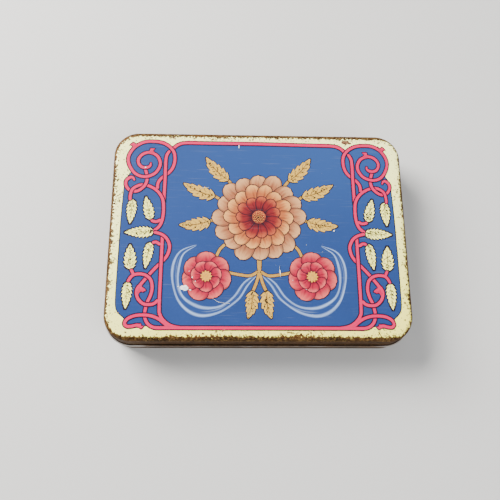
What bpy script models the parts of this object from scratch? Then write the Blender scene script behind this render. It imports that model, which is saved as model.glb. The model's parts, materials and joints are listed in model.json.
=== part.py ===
"""A flat hinged tobacco tin with a printed lid.

A drawn tinplate tray carries a drawn lid on two rolled hinges with wire pins at the back.
The print on the lid is a set of thin films: a blue field, a scrolled border, leaves and a
spray of flowers. Metres, +Z up. The origin is on the table under the middle of the tin,
X runs along the tin and the hinges are on the +Y side.
"""

import math

import bmesh
import bpy
from mathutils import Matrix, Vector, geometry

# Outer size over the lid's skirt, from the table to the lid's top
LENGTH = 0.135
DEPTH = 0.099
HEIGHT = 0.022
CORNER_RADIUS = 0.0115
LID_EDGE_RADIUS = 0.0022
TRAY_EDGE_RADIUS = 0.0018

# Tinplate, drawn thicker than the real 0.25 mm so that the walls stay sound
SHEET = 0.0005
SEAT_GAP = 0.0003

# The bead around the tray, on which the lid's skirt sits
BEAD_BOTTOM = 0.0110
BEAD_TOP = 0.0124
BEAD_REACH = 0.0009
BEAD_ROUNDING = 0.0005

# The neck inside the lid, with its edge curled inwards, and the lid's folded hem
HEM_HEIGHT = 0.0015
NECK_CLEARANCE = 0.0005
CURL_RADIUS = 0.0006
LID_HEADROOM = 0.0008

# The two hinges: a tongue of the lid rolled between two tongues of the tray
HINGE_SPREAD = 0.034
PIN_RADIUS = 0.0006
PIN_PLAY = 0.0003
PIN_PROUD = 0.0004
LID_KNUCKLE = 0.008
TRAY_KNUCKLE = 0.0035
KNUCKLE_GAP = 0.0003
SLOT_FLOOR = 0.00005

# The print: films stacked in layers on the lid, inside a bare cream margin
FILM = 0.00006
FILM_GAP = 0.00002
SIDE_MARGIN = 0.0049
FRONT_MARGIN = 0.0045
STROKE_WIDTH = 0.0018
LEAF_WIDTH = 0.0052

# Roundness of corners, edges, turned pieces and drawn strokes
CORNER_SEGMENTS = 8
EDGE_SEGMENTS = 3
TURNED_SIDES = 20
STROKE_STEPS = 2

# Sizes that follow from the ones above
HEM = 2.0 * SHEET
NECK_INSET = HEM + NECK_CLEARANCE
LID_BOTTOM = BEAD_TOP + SEAT_GAP
CURL_HEIGHT = HEIGHT - SHEET - LID_HEADROOM - CURL_RADIUS
CURL_INSET = NECK_INSET + SHEET + CURL_RADIUS / 4
NECK_TOP = CURL_HEIGHT - CURL_RADIUS / 3
BORE_RADIUS = PIN_RADIUS + PIN_PLAY
KNUCKLE_RADIUS = BORE_RADIUS + SHEET
HINGE_Y = DEPTH / 2 + KNUCKLE_RADIUS + SEAT_GAP
HINGE_Z = LID_BOTTOM + SHEET / 2
SLOT_GAP = 1.5 * KNUCKLE_GAP
CUT_PAST = 0.001

# The print is drawn on a field of this size, in drawing units that start as millimetres
DRAWN_HALF_LENGTH = 62.6
DRAWN_HALF_DEPTH = 45.0
FIELD_HALF_LENGTH = LENGTH / 2 - SIDE_MARGIN
FIELD_HALF_DEPTH = DEPTH / 2 - FRONT_MARGIN
DRAWN_SCALE = min(FIELD_HALF_DEPTH / DRAWN_HALF_DEPTH, FIELD_HALF_LENGTH / DRAWN_HALF_LENGTH)

# Left half of the blue field's edge, from the top's middle to the bottom's middle
FIELD_EDGE = [
    (0.0, 45.0), (-34.5, 45.0), (-38.4, 43.6), (-40.9, 40.6), (-43.6, 43.2), (-47.2, 45.2),
    (-51.4, 45.4), (-55.6, 44.1), (-59.0, 42.4), (-60.4, 39.2), (-61.2, 35.0), (-60.6, 30.6),
    (-58.9, 27.6), (-61.6, 26.4), (-62.6, 23.4), (-62.6, -34.0), (-61.6, -38.4), (-59.2, -42.6),
    (-56.4, -45.0), (-50.6, -45.0), (-49.2, -43.4), (-47.4, -45.0), (0.0, -45.0),
]

# Strokes of the border's left half: each is a chain of points along its middle
LEFT_STROKES = {
    "spiral": [
        (-50.1, 34.0), (-50.3, 32.0), (-52.0, 31.0), (-54.1, 31.3), (-55.6, 32.9), (-55.9, 35.2),
        (-54.4, 37.5), (-52.0, 38.7), (-49.7, 38.5), (-47.2, 37.0), (-45.8, 34.0), (-46.1, 31.1),
        (-48.1, 28.1), (-51.5, 26.5), (-55.0, 26.8), (-58.0, 28.9), (-60.3, 33.1), (-60.4, 37.1),
        (-57.9, 41.4), (-53.5, 44.1), (-49.0, 44.5), (-45.1, 43.9), (-41.8, 42.0), (-39.6, 39.1),
        (-39.0, 35.5), (-39.6, 31.8), (-41.3, 28.9), (-45.0, 25.6), (-46.4, 23.0), (-46.5, 19.6),
    ],
    "spiral_stem": [
        (-52.7, 31.0), (-51.8, 27.8), (-51.5, 24.9), (-52.2, 22.3), (-54.1, 20.1), (-56.1, 19.1),
        (-58.2, 19.2), (-59.9, 20.3), (-61.0, 22.2), (-60.9, 24.4), (-59.3, 25.9), (-57.9, 25.8),
        (-57.0, 24.0),
    ],
    "upper_loop": [
        (-58.7, 14.6), (-58.7, 17.1), (-57.9, 20.0), (-55.9, 21.6), (-53.9, 22.3), (-51.0, 22.0),
        (-48.0, 20.5), (-45.6, 18.3), (-43.8, 15.2), (-43.3, 11.7), (-43.4, 8.0), (-43.9, 4.6),
        (-45.2, 1.8), (-47.7, -0.3),
    ],
    "side_loop": [
        (-47.7, -0.3), (-44.2, -1.5), (-41.7, -3.3), (-40.2, -6.2), (-40.1, -8.8), (-41.0, -11.7),
        (-42.9, -14.2), (-46.6, -18.2), (-50.1, -22.5), (-52.0, -25.0), (-53.4, -27.0),
        (-53.5, -29.5), (-52.4, -31.9), (-50.3, -33.6), (-47.9, -33.9), (-45.6, -33.3),
        (-43.9, -31.4),
    ],
    "lower_loop": [
        (-57.9, -23.9), (-56.3, -21.5), (-54.6, -20.4), (-51.9, -20.2), (-49.5, -21.0),
        (-47.7, -22.8), (-47.0, -25.3), (-47.0, -27.7), (-47.7, -30.5), (-48.6, -32.6),
        (-49.5, -36.4), (-49.5, -39.4), (-48.5, -41.8), (-46.8, -43.3), (-44.5, -44.0),
    ],
    "foot": [
        (-42.5, -39.9), (-46.0, -38.7), (-49.4, -38.4), (-52.7, -38.6), (-55.3, -39.3),
        (-57.2, -40.5), (-58.0, -42.2), (-57.0, -43.5), (-55.1, -43.5), (-52.8, -43.1),
        (-50.9, -43.7),
    ],
    "side_bar": [
        (-41.3, 40.2), (-42.8, 37.6), (-43.2, 34.0), (-43.2, 20.0), (-43.4, -3.3), (-43.5, -35.3),
        (-43.0, -38.4), (-41.6, -40.6), (-39.2, -42.6), (-36.5, -43.6),
    ],
    "top_bar": [(-40.9, 39.9), (-39.4, 41.6), (-37.4, 43.1), (-34.1, 44.0), (-17.0, 44.0), (0.1, 44.0)],
    "bottom_bar": [(-45.4, -44.0), (-36.5, -44.0), (-24.0, -44.0), (-12.0, -44.0), (0.1, -44.0)],
    "second_leaf_stem": [(-49.1, 5.4), (-47.9, 4.6), (-46.1, 4.4), (-44.0, 5.6)],
    "fourth_leaf_stem": [(-56.7, -17.9), (-55.2, -20.6)],
    "fifth_leaf_stem": [(-48.2, -6.0), (-46.1, -5.4), (-43.8, -6.9)],
    "inner_thorn": [(-50.4, 38.4), (-50.0, 39.7), (-49.8, 41.2)],
    "outer_thorn": [(-57.6, 41.4), (-58.6, 42.2), (-59.6, 43.4)],
    "loop_thorn": [(-53.0, -26.6), (-51.4, -27.0), (-50.0, -27.4)],
}

# Left leaves: where each starts on its stem, and its tip
LEFT_LEAVES = [
    ((-57.5, 14.6), (-58.3, 3.8)),
    ((-48.9, 5.5), (-52.4, 16.3)),
    ((-47.5, -0.5), (-60.2, -0.9)),
    ((-57.1, -17.9), (-57.5, -6.8)),
    ((-48.9, -5.7), (-50.0, -17.3)),
    ((-57.7, -24.0), (-58.0, -35.6)),
]

# The spray of flowers in the middle, drawn on the same field
DAHLIA_CENTRE = (0.0, 7.0)
DAHLIA_RADIUS = 21.0
DAHLIA_INNER_RADIUS = 13.5
DAHLIA_HEART_RADIUS = 6.0
DAHLIA_PETALS = 16
BLOSSOM_CENTRE = (-23.5, -21.0)
BLOSSOM_RADIUS = 11.0
BLOSSOM_HEART_RADIUS = 3.8
BLOSSOM_PETALS = 7
PETAL_POINTS = 6
SPRAY_LEAVES = [
    ((-14.0, 25.0), (-24.0, 36.0)),
    ((-20.0, 17.0), (-34.0, 23.0)),
    ((-22.0, 5.0), (-35.5, 3.0)),
    ((-3.4, -27.5), (-5.2, -39.5)),
]
SPRAY_LEAF_WIDTH = 0.0068
RIBBON = [
    (0.0, -20.0), (-5.0, -24.5), (-9.5, -31.0), (-17.0, -36.0), (-26.0, -36.5), (-33.5, -31.0),
    (-36.6, -21.0), (-34.0, -11.0), (-27.0, -6.5),
]
RIBBON_START = 1.0
RIBBON_WIDTH = 0.0032

# Colours of the print and the metal, as linear RGB
CREAM = (0.93, 0.87, 0.56)
BLUE = (0.055, 0.145, 0.36)
PINK = (0.90, 0.09, 0.20)
LEAF_CREAM = (0.90, 0.86, 0.52)
TAN_ORANGE = (0.62, 0.29, 0.13)
PALE_ORANGE = (0.78, 0.45, 0.22)
DARK_PLUM = (0.10, 0.03, 0.04)
RED = (0.65, 0.05, 0.07)
GOLD = (0.80, 0.52, 0.12)
WISP = (0.50, 0.60, 0.75)
TINPLATE = (0.60, 0.56, 0.48)
STEEL = (0.45, 0.44, 0.42)


def clear_scene():
    """Remove whatever the open file holds."""
    for obj in list(bpy.data.objects):
        bpy.data.objects.remove(obj, do_unlink=True)


def new_collection(name):
    """Make a collection in the scene."""
    collection = bpy.data.collections.new(name)
    bpy.context.scene.collection.children.link(collection)
    return collection


def make_material(name, colour, roughness, metallic):
    """Make a Principled material with one colour."""
    material = bpy.data.materials.new(name)
    material.use_nodes = True
    shader = material.node_tree.nodes["Principled BSDF"]
    shader.inputs["Base Color"].default_value = (*colour, 1.0)
    shader.inputs["Roughness"].default_value = roughness
    shader.inputs["Metallic"].default_value = metallic
    return material


def add_object(name, data, collection, material=None):
    """Link an object with its material to a collection."""
    obj = bpy.data.objects.new(name, data)
    collection.objects.link(obj)
    if material:
        data.materials.append(material)
    return obj


def as_cutter(obj):
    """Show a helper solid as wire only."""
    obj.hide_render = True
    obj.display_type = "WIRE"
    return obj


def add_boolean(target, other, operation):
    """Join another solid to the target, or cut it away."""
    modifier = target.modifiers.new(f"{operation.lower()}_{other.name}", "BOOLEAN")
    modifier.object = other
    modifier.operation = operation
    modifier.solver = "EXACT"


def slab(name, collection, inset, bottom, top, round_bottom=0.0, round_top=0.0, material=None):
    """Make a block with the tin's rounded plan, inset from the lid's outside, rims rounded."""
    mesh = bmesh.new()
    bmesh.ops.create_cube(mesh, size=1.0)
    size = (LENGTH - 2 * inset, DEPTH - 2 * inset, top - bottom)
    bmesh.ops.scale(mesh, vec=size, verts=mesh.verts)
    bmesh.ops.translate(mesh, vec=(0.0, 0.0, (top + bottom) / 2), verts=mesh.verts)
    upright = [e for e in mesh.edges if abs(e.verts[0].co.z - e.verts[1].co.z) > size[2] / 2]
    bmesh.ops.bevel(
        mesh, geom=upright, offset=CORNER_RADIUS - inset, segments=CORNER_SEGMENTS,
        profile=0.5, affect="EDGES",
    )
    for height, rounding in ((bottom, round_bottom), (top, round_top)):
        if rounding > 0.0:
            rim = [e for e in mesh.edges if all(abs(v.co.z - height) < SHEET / 10 for v in e.verts)]
            bmesh.ops.bevel(
                mesh, geom=rim, offset=rounding, segments=EDGE_SEGMENTS,
                profile=0.5, affect="EDGES",
            )
    return finish_mesh(name, mesh, collection, material)


def block(name, collection, low, high):
    """Make a plain box between two corners."""
    mesh = bmesh.new()
    bmesh.ops.create_cube(mesh, size=1.0)
    low = Vector(low)
    high = Vector(high)
    bmesh.ops.scale(mesh, vec=high - low, verts=mesh.verts)
    bmesh.ops.translate(mesh, vec=(low + high) / 2, verts=mesh.verts)
    return finish_mesh(name, mesh, collection)


def rod(name, collection, radius, length, x_middle, material=None):
    """Make a cylinder along X on the hinge's axis, with its origin on that axis."""
    mesh = bmesh.new()
    bmesh.ops.create_cone(
        mesh, cap_ends=True, segments=TURNED_SIDES, radius1=radius, radius2=radius, depth=length,
    )
    turn = Matrix.Rotation(math.radians(90.0), 3, "Y")
    bmesh.ops.rotate(mesh, cent=(0.0, 0.0, 0.0), matrix=turn, verts=mesh.verts)
    mesh.normal_update()
    obj = finish_mesh(name, mesh, collection, material)
    obj.location = (x_middle, HINGE_Y, HINGE_Z)
    return obj


def finish_mesh(name, mesh, collection, material=None):
    """Turn a bmesh into an object with smooth faces between its sharp edges."""
    bmesh.ops.recalc_face_normals(mesh, faces=mesh.faces)
    data = bpy.data.meshes.new(name)
    mesh.to_mesh(data)
    mesh.free()
    data.shade_smooth()
    data.set_sharp_from_angle(angle=math.radians(35.0))
    return add_object(name, data, collection, material)


def plan_corner(centre, radius, start_angle):
    """Points of one rounded corner of the tin's plan."""
    angles = [start_angle + math.pi / 2 * i / CORNER_SEGMENTS for i in range(CORNER_SEGMENTS + 1)]
    return [(centre[0] + radius * math.cos(a), centre[1] + radius * math.sin(a)) for a in angles]


def plan_loop(inset):
    """The tin's rounded plan as a closed chain of points, inset from the lid's outside."""
    x_centre = LENGTH / 2 - CORNER_RADIUS
    y_centre = DEPTH / 2 - CORNER_RADIUS
    radius = CORNER_RADIUS - inset
    quarters = [(x_centre, y_centre), (-x_centre, y_centre), (-x_centre, -y_centre), (x_centre, -y_centre)]
    points = []
    for turn, centre in enumerate(quarters):
        points += plan_corner(centre, radius, turn * math.pi / 2)
    return points


def rim_curl(collection):
    """The curled edge of the tray's neck: a wire-like roll all round the mouth."""
    curve = bpy.data.curves.new("rim_curl", "CURVE")
    curve.dimensions = "3D"
    curve.bevel_depth = CURL_RADIUS
    curve.bevel_resolution = 2
    points = plan_loop(CURL_INSET)
    spline = curve.splines.new("POLY")
    spline.points.add(len(points) - 1)
    for target, (x, y) in zip(spline.points, points):
        target.co = (x, y, CURL_HEIGHT, 1.0)
    spline.use_cyclic_u = True
    rail = add_object("rim_curl_path", curve, collection)
    graph = bpy.context.evaluated_depsgraph_get()
    data = bpy.data.meshes.new_from_object(rail.evaluated_get(graph))
    bpy.data.objects.remove(rail, do_unlink=True)
    mesh = bmesh.new()
    mesh.from_mesh(data)
    bmesh.ops.remove_doubles(mesh, verts=mesh.verts, dist=SHEET / 100)
    return finish_mesh("rim_curl", mesh, collection)


def hinge_side(x_middle):
    """Name the hinge by the side of the tin that it is on."""
    return "left" if x_middle < 0 else "right"


def lid_knuckle_span(x_middle):
    """Where the lid's knuckle starts and ends along X."""
    return x_middle - LID_KNUCKLE / 2, x_middle + LID_KNUCKLE / 2


def tray_knuckle_spans(x_middle):
    """Where the tray's two knuckles start and end along X, either side of the lid's."""
    start, end = lid_knuckle_span(x_middle)
    left = (start - KNUCKLE_GAP - TRAY_KNUCKLE, start - KNUCKLE_GAP)
    right = (end + KNUCKLE_GAP, end + KNUCKLE_GAP + TRAY_KNUCKLE)
    return left, right


def tongue_outline(web_bottom, web_top):
    """Section of a tongue from the side: a web out of the wall, and the roll that it ends in."""
    low_angle = -math.pi - math.asin(max(-1.0, (web_bottom - HINGE_Z) / KNUCKLE_RADIUS))
    high_angle = math.pi - math.asin((web_top - HINGE_Z) / KNUCKLE_RADIUS)
    root = DEPTH / 2 - SHEET / 2
    points = [(root, web_bottom)]
    for i in range(TURNED_SIDES + 1):
        angle = low_angle + (high_angle - low_angle) * i / TURNED_SIDES
        points.append((
            HINGE_Y + KNUCKLE_RADIUS * math.cos(angle),
            HINGE_Z + KNUCKLE_RADIUS * math.sin(angle),
        ))
    return points + [(root, web_top)]


def add_knuckle(target, cutters, name, span, web_bottom, web_top):
    """Roll one tongue of the target round the hinge's axis."""
    mesh = bmesh.new()
    section = [mesh.verts.new((span[0], y, z)) for y, z in tongue_outline(web_bottom, web_top)]
    face = mesh.faces.new(section)
    drawn = bmesh.ops.extrude_face_region(mesh, geom=[face], use_keep_orig=True)
    far = [v for v in drawn["geom"] if isinstance(v, bmesh.types.BMVert)]
    bmesh.ops.translate(mesh, vec=(span[1] - span[0], 0.0, 0.0), verts=far)
    tongue = finish_mesh(f"{name}_tongue", mesh, cutters)
    add_boolean(target, as_cutter(tongue), "UNION")


def add_bore(target, cutters, x_middle):
    """Drill the pin's hole through every knuckle of one hinge."""
    length = LID_KNUCKLE + 2 * (TRAY_KNUCKLE + KNUCKLE_GAP + CUT_PAST)
    name = f"{target.name}_{hinge_side(x_middle)}_bore"
    bore = rod(name, cutters, BORE_RADIUS, length, x_middle)
    add_boolean(target, as_cutter(bore), "DIFFERENCE")


def build_tray(parts, cutters):
    """The tray: a flat drawn bottom, a bead, a neck with a curled edge, and hinge tongues."""
    tinplate = make_material("tinplate", TINPLATE, 0.35, 0.9)
    bead_middle = (BEAD_BOTTOM + BEAD_TOP) / 2
    tray = slab("tray", parts, 0.0, 0.0, bead_middle, round_bottom=TRAY_EDGE_RADIUS, material=tinplate)
    bead = slab("tray_bead", cutters, -BEAD_REACH, BEAD_BOTTOM, BEAD_TOP, BEAD_ROUNDING, BEAD_ROUNDING)
    neck = slab("tray_neck", cutters, NECK_INSET, bead_middle, NECK_TOP)
    for solid in (bead, neck):
        add_boolean(tray, as_cutter(solid), "UNION")
    body_hollow = slab(
        "tray_body_hollow", cutters, SHEET, SHEET, BEAD_TOP - SHEET,
        round_bottom=TRAY_EDGE_RADIUS - SHEET,
    )
    neck_hollow = slab("tray_neck_hollow", cutters, NECK_INSET + SHEET, BEAD_BOTTOM, HEIGHT)
    for hollow in (body_hollow, neck_hollow):
        add_boolean(tray, as_cutter(hollow), "DIFFERENCE")
    add_boolean(tray, as_cutter(rim_curl(cutters)), "UNION")
    for x_middle in (-HINGE_SPREAD, HINGE_SPREAD):
        side = hinge_side(x_middle)
        start, end = lid_knuckle_span(x_middle)
        slot = block(
            f"{side}_slot", cutters,
            (start - SLOT_GAP, DEPTH / 2 + SLOT_FLOOR, BEAD_BOTTOM - CUT_PAST),
            (end + SLOT_GAP, DEPTH / 2 + BEAD_REACH + CUT_PAST, BEAD_TOP + CUT_PAST),
        )
        add_boolean(tray, as_cutter(slot), "DIFFERENCE")
        for number, span in enumerate(tray_knuckle_spans(x_middle), start=1):
            add_knuckle(
                tray, cutters, f"tray_{side}_{number}", span,
                HINGE_Z - KNUCKLE_RADIUS, BEAD_TOP - SHEET / 4,
            )
        add_bore(tray, cutters, x_middle)
    return tray


def build_lid(parts, cutters):
    """The lid: a flat top with a round edge, a skirt with a folded hem, and hinge tongues."""
    lacquer = make_material("cream_lacquer", CREAM, 0.35, 0.1)
    lid = slab("lid", parts, 0.0, LID_BOTTOM, HEIGHT, round_top=LID_EDGE_RADIUS, material=lacquer)
    hem_top = LID_BOTTOM + HEM_HEIGHT
    hollow = slab(
        "lid_hollow", cutters, SHEET, hem_top, HEIGHT - SHEET, round_top=LID_EDGE_RADIUS - SHEET,
    )
    mouth = slab("lid_mouth", cutters, HEM, LID_BOTTOM - CUT_PAST, hem_top + CUT_PAST)
    for cutter in (hollow, mouth):
        add_boolean(lid, as_cutter(cutter), "DIFFERENCE")
    for x_middle in (-HINGE_SPREAD, HINGE_SPREAD):
        add_knuckle(
            lid, cutters, f"lid_{hinge_side(x_middle)}", lid_knuckle_span(x_middle),
            LID_BOTTOM + SHEET / 10, LID_BOTTOM + SHEET,
        )
        add_bore(lid, cutters, x_middle)
    return lid


def build_pins(parts):
    """The two wire pins, one in each hinge."""
    steel = make_material("steel_wire", STEEL, 0.4, 1.0)
    length = LID_KNUCKLE + 2 * (TRAY_KNUCKLE + KNUCKLE_GAP + PIN_PROUD)
    for x_middle in (-HINGE_SPREAD, HINGE_SPREAD):
        rod(f"hinge_pin_{hinge_side(x_middle)}", parts, PIN_RADIUS, length, x_middle, steel)


def smooth_chain(points, steps):
    """Read a Catmull-Rom curve through the points, with some steps in each stretch."""
    chain = [Vector(p) for p in points]
    chain = [2 * chain[0] - chain[1]] + chain + [2 * chain[-1] - chain[-2]]
    result = []
    for a, b, c, d in zip(chain, chain[1:], chain[2:], chain[3:]):
        for i in range(steps):
            t = i / steps
            result.append(
                0.5 * (2 * b + (c - a) * t + (2 * a - 5 * b + 4 * c - d) * t ** 2
                       + (3 * b - a - 3 * c + d) * t ** 3)
            )
    return result + [chain[-2]]


def stroke_sides(points, width, steps, taper=False):
    """The left and right side of a stroke of even width, or of one that thins to its ends.

    In a tight bend the inner side waits in place until the middle has gone round.
    """
    middle = smooth_chain(points, steps)
    sides = ([], [])
    for i, point in enumerate(middle):
        along = middle[min(i + 1, len(middle) - 1)] - middle[max(i - 1, 0)]
        across = Vector((-along.y, along.x)).normalized()
        share = i / (len(middle) - 1)
        half = width / 2 * (0.25 + 0.75 * math.sin(math.pi * share) if taper else 1.0)
        for side, way in zip(sides, (1.0, -1.0)):
            corner = point + across * half * way
            turned_back = side and (corner - side[-1]).dot(along) <= 0.0
            side.append(side[-1] if turned_back else corner)
    return sides


def stroke_outline(points, width, steps, taper=False):
    """A stroke as one outline, anticlockwise."""
    left, right = stroke_sides(points, width, steps, taper)
    return right + left[::-1]


def stroke_pieces(points, width, steps, taper=False):
    """A stroke as a row of four-sided pieces, anticlockwise, so that it may cross itself."""
    left, right = stroke_sides(points, width, steps, taper)
    pieces = []
    for i in range(len(left) - 1):
        corners = [left[i], right[i], right[i + 1], left[i + 1]]
        pieces.append([c for j, c in enumerate(corners) if c is not corners[j - 1]])
    return pieces


def leaf_outline(base, tip, width, teeth=4):
    """A pointed leaf with a toothed edge, from its stem to its tip."""
    base = Vector(base)
    along = Vector(tip) - base
    across = Vector((-along.y, along.x)).normalized() * width / 2
    left = []
    right = []
    for i in range(2 * teeth + 1):
        share = (i + 0.5) / (2 * teeth + 1)
        swell = math.sin(math.pi * share ** 0.85) * (1.0 if i % 2 else 0.8)
        left.append(base + along * share + across * swell)
        right.append(base + along * share - across * swell)
    return [base] + left + [base + along] + right[::-1]


def flower_outline(centre, radius, petals, depth=0.22):
    """A round flower whose edge is a ring of rounded petals."""
    count = petals * PETAL_POINTS
    points = []
    for i in range(count):
        angle = 2 * math.pi * i / count
        reach = radius * (1.0 - depth * (1.0 - abs(math.sin(petals * angle / 2))))
        points.append(Vector((centre[0] + reach * math.cos(angle), centre[1] + reach * math.sin(angle))))
    return points


def mirrored(points):
    """The same points on the other side of the tin's middle, still turning the same way."""
    return [(-x, y) for x, y in reversed(points)]


def place(point):
    """Fit a drawn point to the real field, holding its distance from the nearer side."""
    x, y = point
    edge_distance = (DRAWN_HALF_LENGTH - abs(x)) * DRAWN_SCALE
    field_x = math.copysign(FIELD_HALF_LENGTH - edge_distance, x) if abs(x) > 0.5 else 0.0
    return field_x, y * FIELD_HALF_DEPTH / DRAWN_HALF_DEPTH


def place_spray(point):
    """Fit a drawn point of the spray to the real field about its middle."""
    return point[0] * DRAWN_SCALE, point[1] * FIELD_HALF_DEPTH / DRAWN_HALF_DEPTH


def place_flower(centre, radius, petals):
    """A flower round its drawn centre, fitted to the real field and still round."""
    return flower_outline(place_spray(centre), radius * DRAWN_SCALE, petals)


def layer_height(layer):
    """Height of the middle of a print layer."""
    return HEIGHT + (layer + 1) * FILM_GAP + (layer + 0.5) * FILM


def film(name, outline, layer, parts, material):
    """A flat field of print: a filled outline with the film's thickness."""
    curve = bpy.data.curves.new(name, "CURVE")
    curve.dimensions = "2D"
    curve.fill_mode = "BOTH"
    curve.extrude = FILM / 2
    spline = curve.splines.new("POLY")
    spline.points.add(len(outline) - 1)
    for target, (x, y) in zip(spline.points, outline):
        target.co = (x, y, 0.0, 1.0)
    spline.use_cyclic_u = True
    obj = add_object(name, curve, parts, material)
    obj.location = (0.0, 0.0, layer_height(layer))
    return obj


def joined_film(name, outlines, layer, parts, material):
    """One film from outlines that cross each other: their union, filled and thickened."""
    points = []
    faces = []
    for outline in outlines:
        faces.append(list(range(len(points), len(points) + len(outline))))
        points += [Vector(p) for p in outline]
    corners, _, triangles, _, _, sources = geometry.delaunay_2d_cdt(points, [], faces, 1, SHEET / 5000)
    mesh = bmesh.new()
    verts = [mesh.verts.new((v.x, v.y, -FILM / 2)) for v in corners]
    for triangle, source in zip(triangles, sources):
        if source:
            mesh.faces.new([verts[i] for i in triangle])
    bmesh.ops.delete(mesh, geom=[v for v in mesh.verts if not v.link_faces], context="VERTS")
    flat = mesh.faces[:]
    bmesh.ops.recalc_face_normals(mesh, faces=flat)
    raised = bmesh.ops.extrude_face_region(mesh, geom=flat, use_keep_orig=True)
    tops = [v for v in raised["geom"] if isinstance(v, bmesh.types.BMVert)]
    bmesh.ops.translate(mesh, vec=(0.0, 0.0, FILM), verts=tops)
    obj = finish_mesh(name, mesh, parts, material)
    obj.location = (0.0, 0.0, layer_height(layer))
    return obj


def build_field(parts):
    """The blue field under the rest of the print."""
    blue = make_material("blue_print", BLUE, 0.35, 0.1)
    edge = FIELD_EDGE + mirrored(FIELD_EDGE)[1:-1]
    film("blue_field", [place(p) for p in edge], 0, parts, blue)


def build_border(parts):
    """The pink scrolled border, one film for both halves."""
    pink = make_material("pink_print", PINK, 0.35, 0.1)
    outlines = []
    for name, points in LEFT_STROKES.items():
        taper = name.endswith("thorn")
        for chain in (points, mirrored(points)):
            placed = [place(p) for p in chain]
            outlines += stroke_pieces(placed, STROKE_WIDTH, STROKE_STEPS, taper)
    joined_film("border_scroll", outlines, 2, parts, pink)


def build_leaves(parts):
    """Six cream leaves down each side of the border."""
    cream = make_material("leaf_print", LEAF_CREAM, 0.35, 0.1)
    for number, ends in enumerate(LEFT_LEAVES, start=1):
        for side, mirror in (("left", 1), ("right", -1)):
            base, tip = [place((mirror * x, y)) for x, y in ends]
            outline = leaf_outline(base, tip, LEAF_WIDTH)
            film(f"border_leaf_{side}_{number}", outline, 1, parts, cream)


def build_spray(parts):
    """The flowers in the middle: a dahlia, two blossoms, gold leaves and two pale ribbons."""
    tan = make_material("tan_print", TAN_ORANGE, 0.35, 0.1)
    orange = make_material("orange_print", PALE_ORANGE, 0.35, 0.1)
    plum = make_material("plum_print", DARK_PLUM, 0.35, 0.1)
    red = make_material("red_print", RED, 0.35, 0.1)
    gold = make_material("gold_print", GOLD, 0.35, 0.1)
    wisp = make_material("wisp_print", WISP, 0.35, 0.1)
    rings = (
        ("dahlia_petals", DAHLIA_RADIUS, tan, 2),
        ("dahlia_inner_petals", DAHLIA_INNER_RADIUS, orange, 3),
        ("dahlia_heart", DAHLIA_HEART_RADIUS, plum, 4),
    )
    for name, radius, colour, layer in rings:
        film(name, place_flower(DAHLIA_CENTRE, radius, DAHLIA_PETALS), layer, parts, colour)
    for side, mirror in (("left", 1), ("right", -1)):
        centre = (mirror * BLOSSOM_CENTRE[0], BLOSSOM_CENTRE[1])
        petals = place_flower(centre, BLOSSOM_RADIUS, BLOSSOM_PETALS)
        heart = place_flower(centre, BLOSSOM_HEART_RADIUS, BLOSSOM_PETALS)
        film(f"blossom_{side}", petals, 2, parts, red)
        film(f"blossom_heart_{side}", heart, 3, parts, gold)
        ribbon = [place_spray((mirror * (x - RIBBON_START), y)) for x, y in RIBBON]
        winding = stroke_outline(ribbon, RIBBON_WIDTH, STROKE_STEPS, taper=True)
        film(f"ribbon_{side}", winding, 1, parts, wisp)
        for number, ends in enumerate(SPRAY_LEAVES, start=1):
            base, tip = [place_spray((mirror * x, y)) for x, y in ends]
            outline = leaf_outline(base, tip, SPRAY_LEAF_WIDTH, teeth=3)
            film(f"gold_leaf_{side}_{number}", outline, 1, parts, gold)


def main():
    """Build the tin and its print."""
    clear_scene()
    parts = new_collection("tobacco_tin")
    cutters = new_collection("cutters")
    build_tray(parts, cutters)
    build_lid(parts, cutters)
    build_pins(parts)
    build_field(parts)
    build_border(parts)
    build_leaves(parts)
    build_spray(parts)


if __name__ == "__main__":
    main()
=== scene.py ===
"""Dress the flat hinged tobacco tin: worn tinplate, lacquer and the print on its lid.

Laid out as an add-on and run as a script. Lengths are in metres, angles in radians, and the
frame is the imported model's: the tin stands on z = 0, its front faces -Y and its hinges +Y.
"""

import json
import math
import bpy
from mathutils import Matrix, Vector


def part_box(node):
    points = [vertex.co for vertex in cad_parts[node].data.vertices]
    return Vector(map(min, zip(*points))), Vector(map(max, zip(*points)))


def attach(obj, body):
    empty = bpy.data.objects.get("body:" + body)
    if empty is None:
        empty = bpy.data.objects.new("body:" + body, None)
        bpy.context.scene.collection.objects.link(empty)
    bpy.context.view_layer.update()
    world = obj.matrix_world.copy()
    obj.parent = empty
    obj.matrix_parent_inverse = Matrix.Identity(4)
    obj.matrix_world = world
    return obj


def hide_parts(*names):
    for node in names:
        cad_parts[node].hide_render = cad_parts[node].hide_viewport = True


bl_info = {
    "name": "Tobacco tin dresser",
    "version": (1, 0, 0),
    "blender": (4, 5, 0),
    "location": "3D View > Sidebar > Tin",
    "description": "Builds the smooth shells, the hinges and the printed lid of a flat tin",
    "category": "Object",
}

import bpy
import numpy as np

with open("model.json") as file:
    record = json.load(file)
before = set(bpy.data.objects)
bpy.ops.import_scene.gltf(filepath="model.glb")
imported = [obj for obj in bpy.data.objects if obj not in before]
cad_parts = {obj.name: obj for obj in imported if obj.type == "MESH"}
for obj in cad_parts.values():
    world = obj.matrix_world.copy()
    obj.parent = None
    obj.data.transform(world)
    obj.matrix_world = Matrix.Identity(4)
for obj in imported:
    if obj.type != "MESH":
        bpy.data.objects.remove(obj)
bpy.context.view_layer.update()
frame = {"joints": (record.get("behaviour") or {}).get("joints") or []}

LID_LOW, LID_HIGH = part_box("lid")
TRAY_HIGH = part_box("tray")[1]
PIN_LOW, PIN_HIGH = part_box("hinge_pin_left")
HINGE = frame["joints"][0]["pos_m"]
MM = 0.001
SIDES = (("left", 1), ("right", -1))

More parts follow.
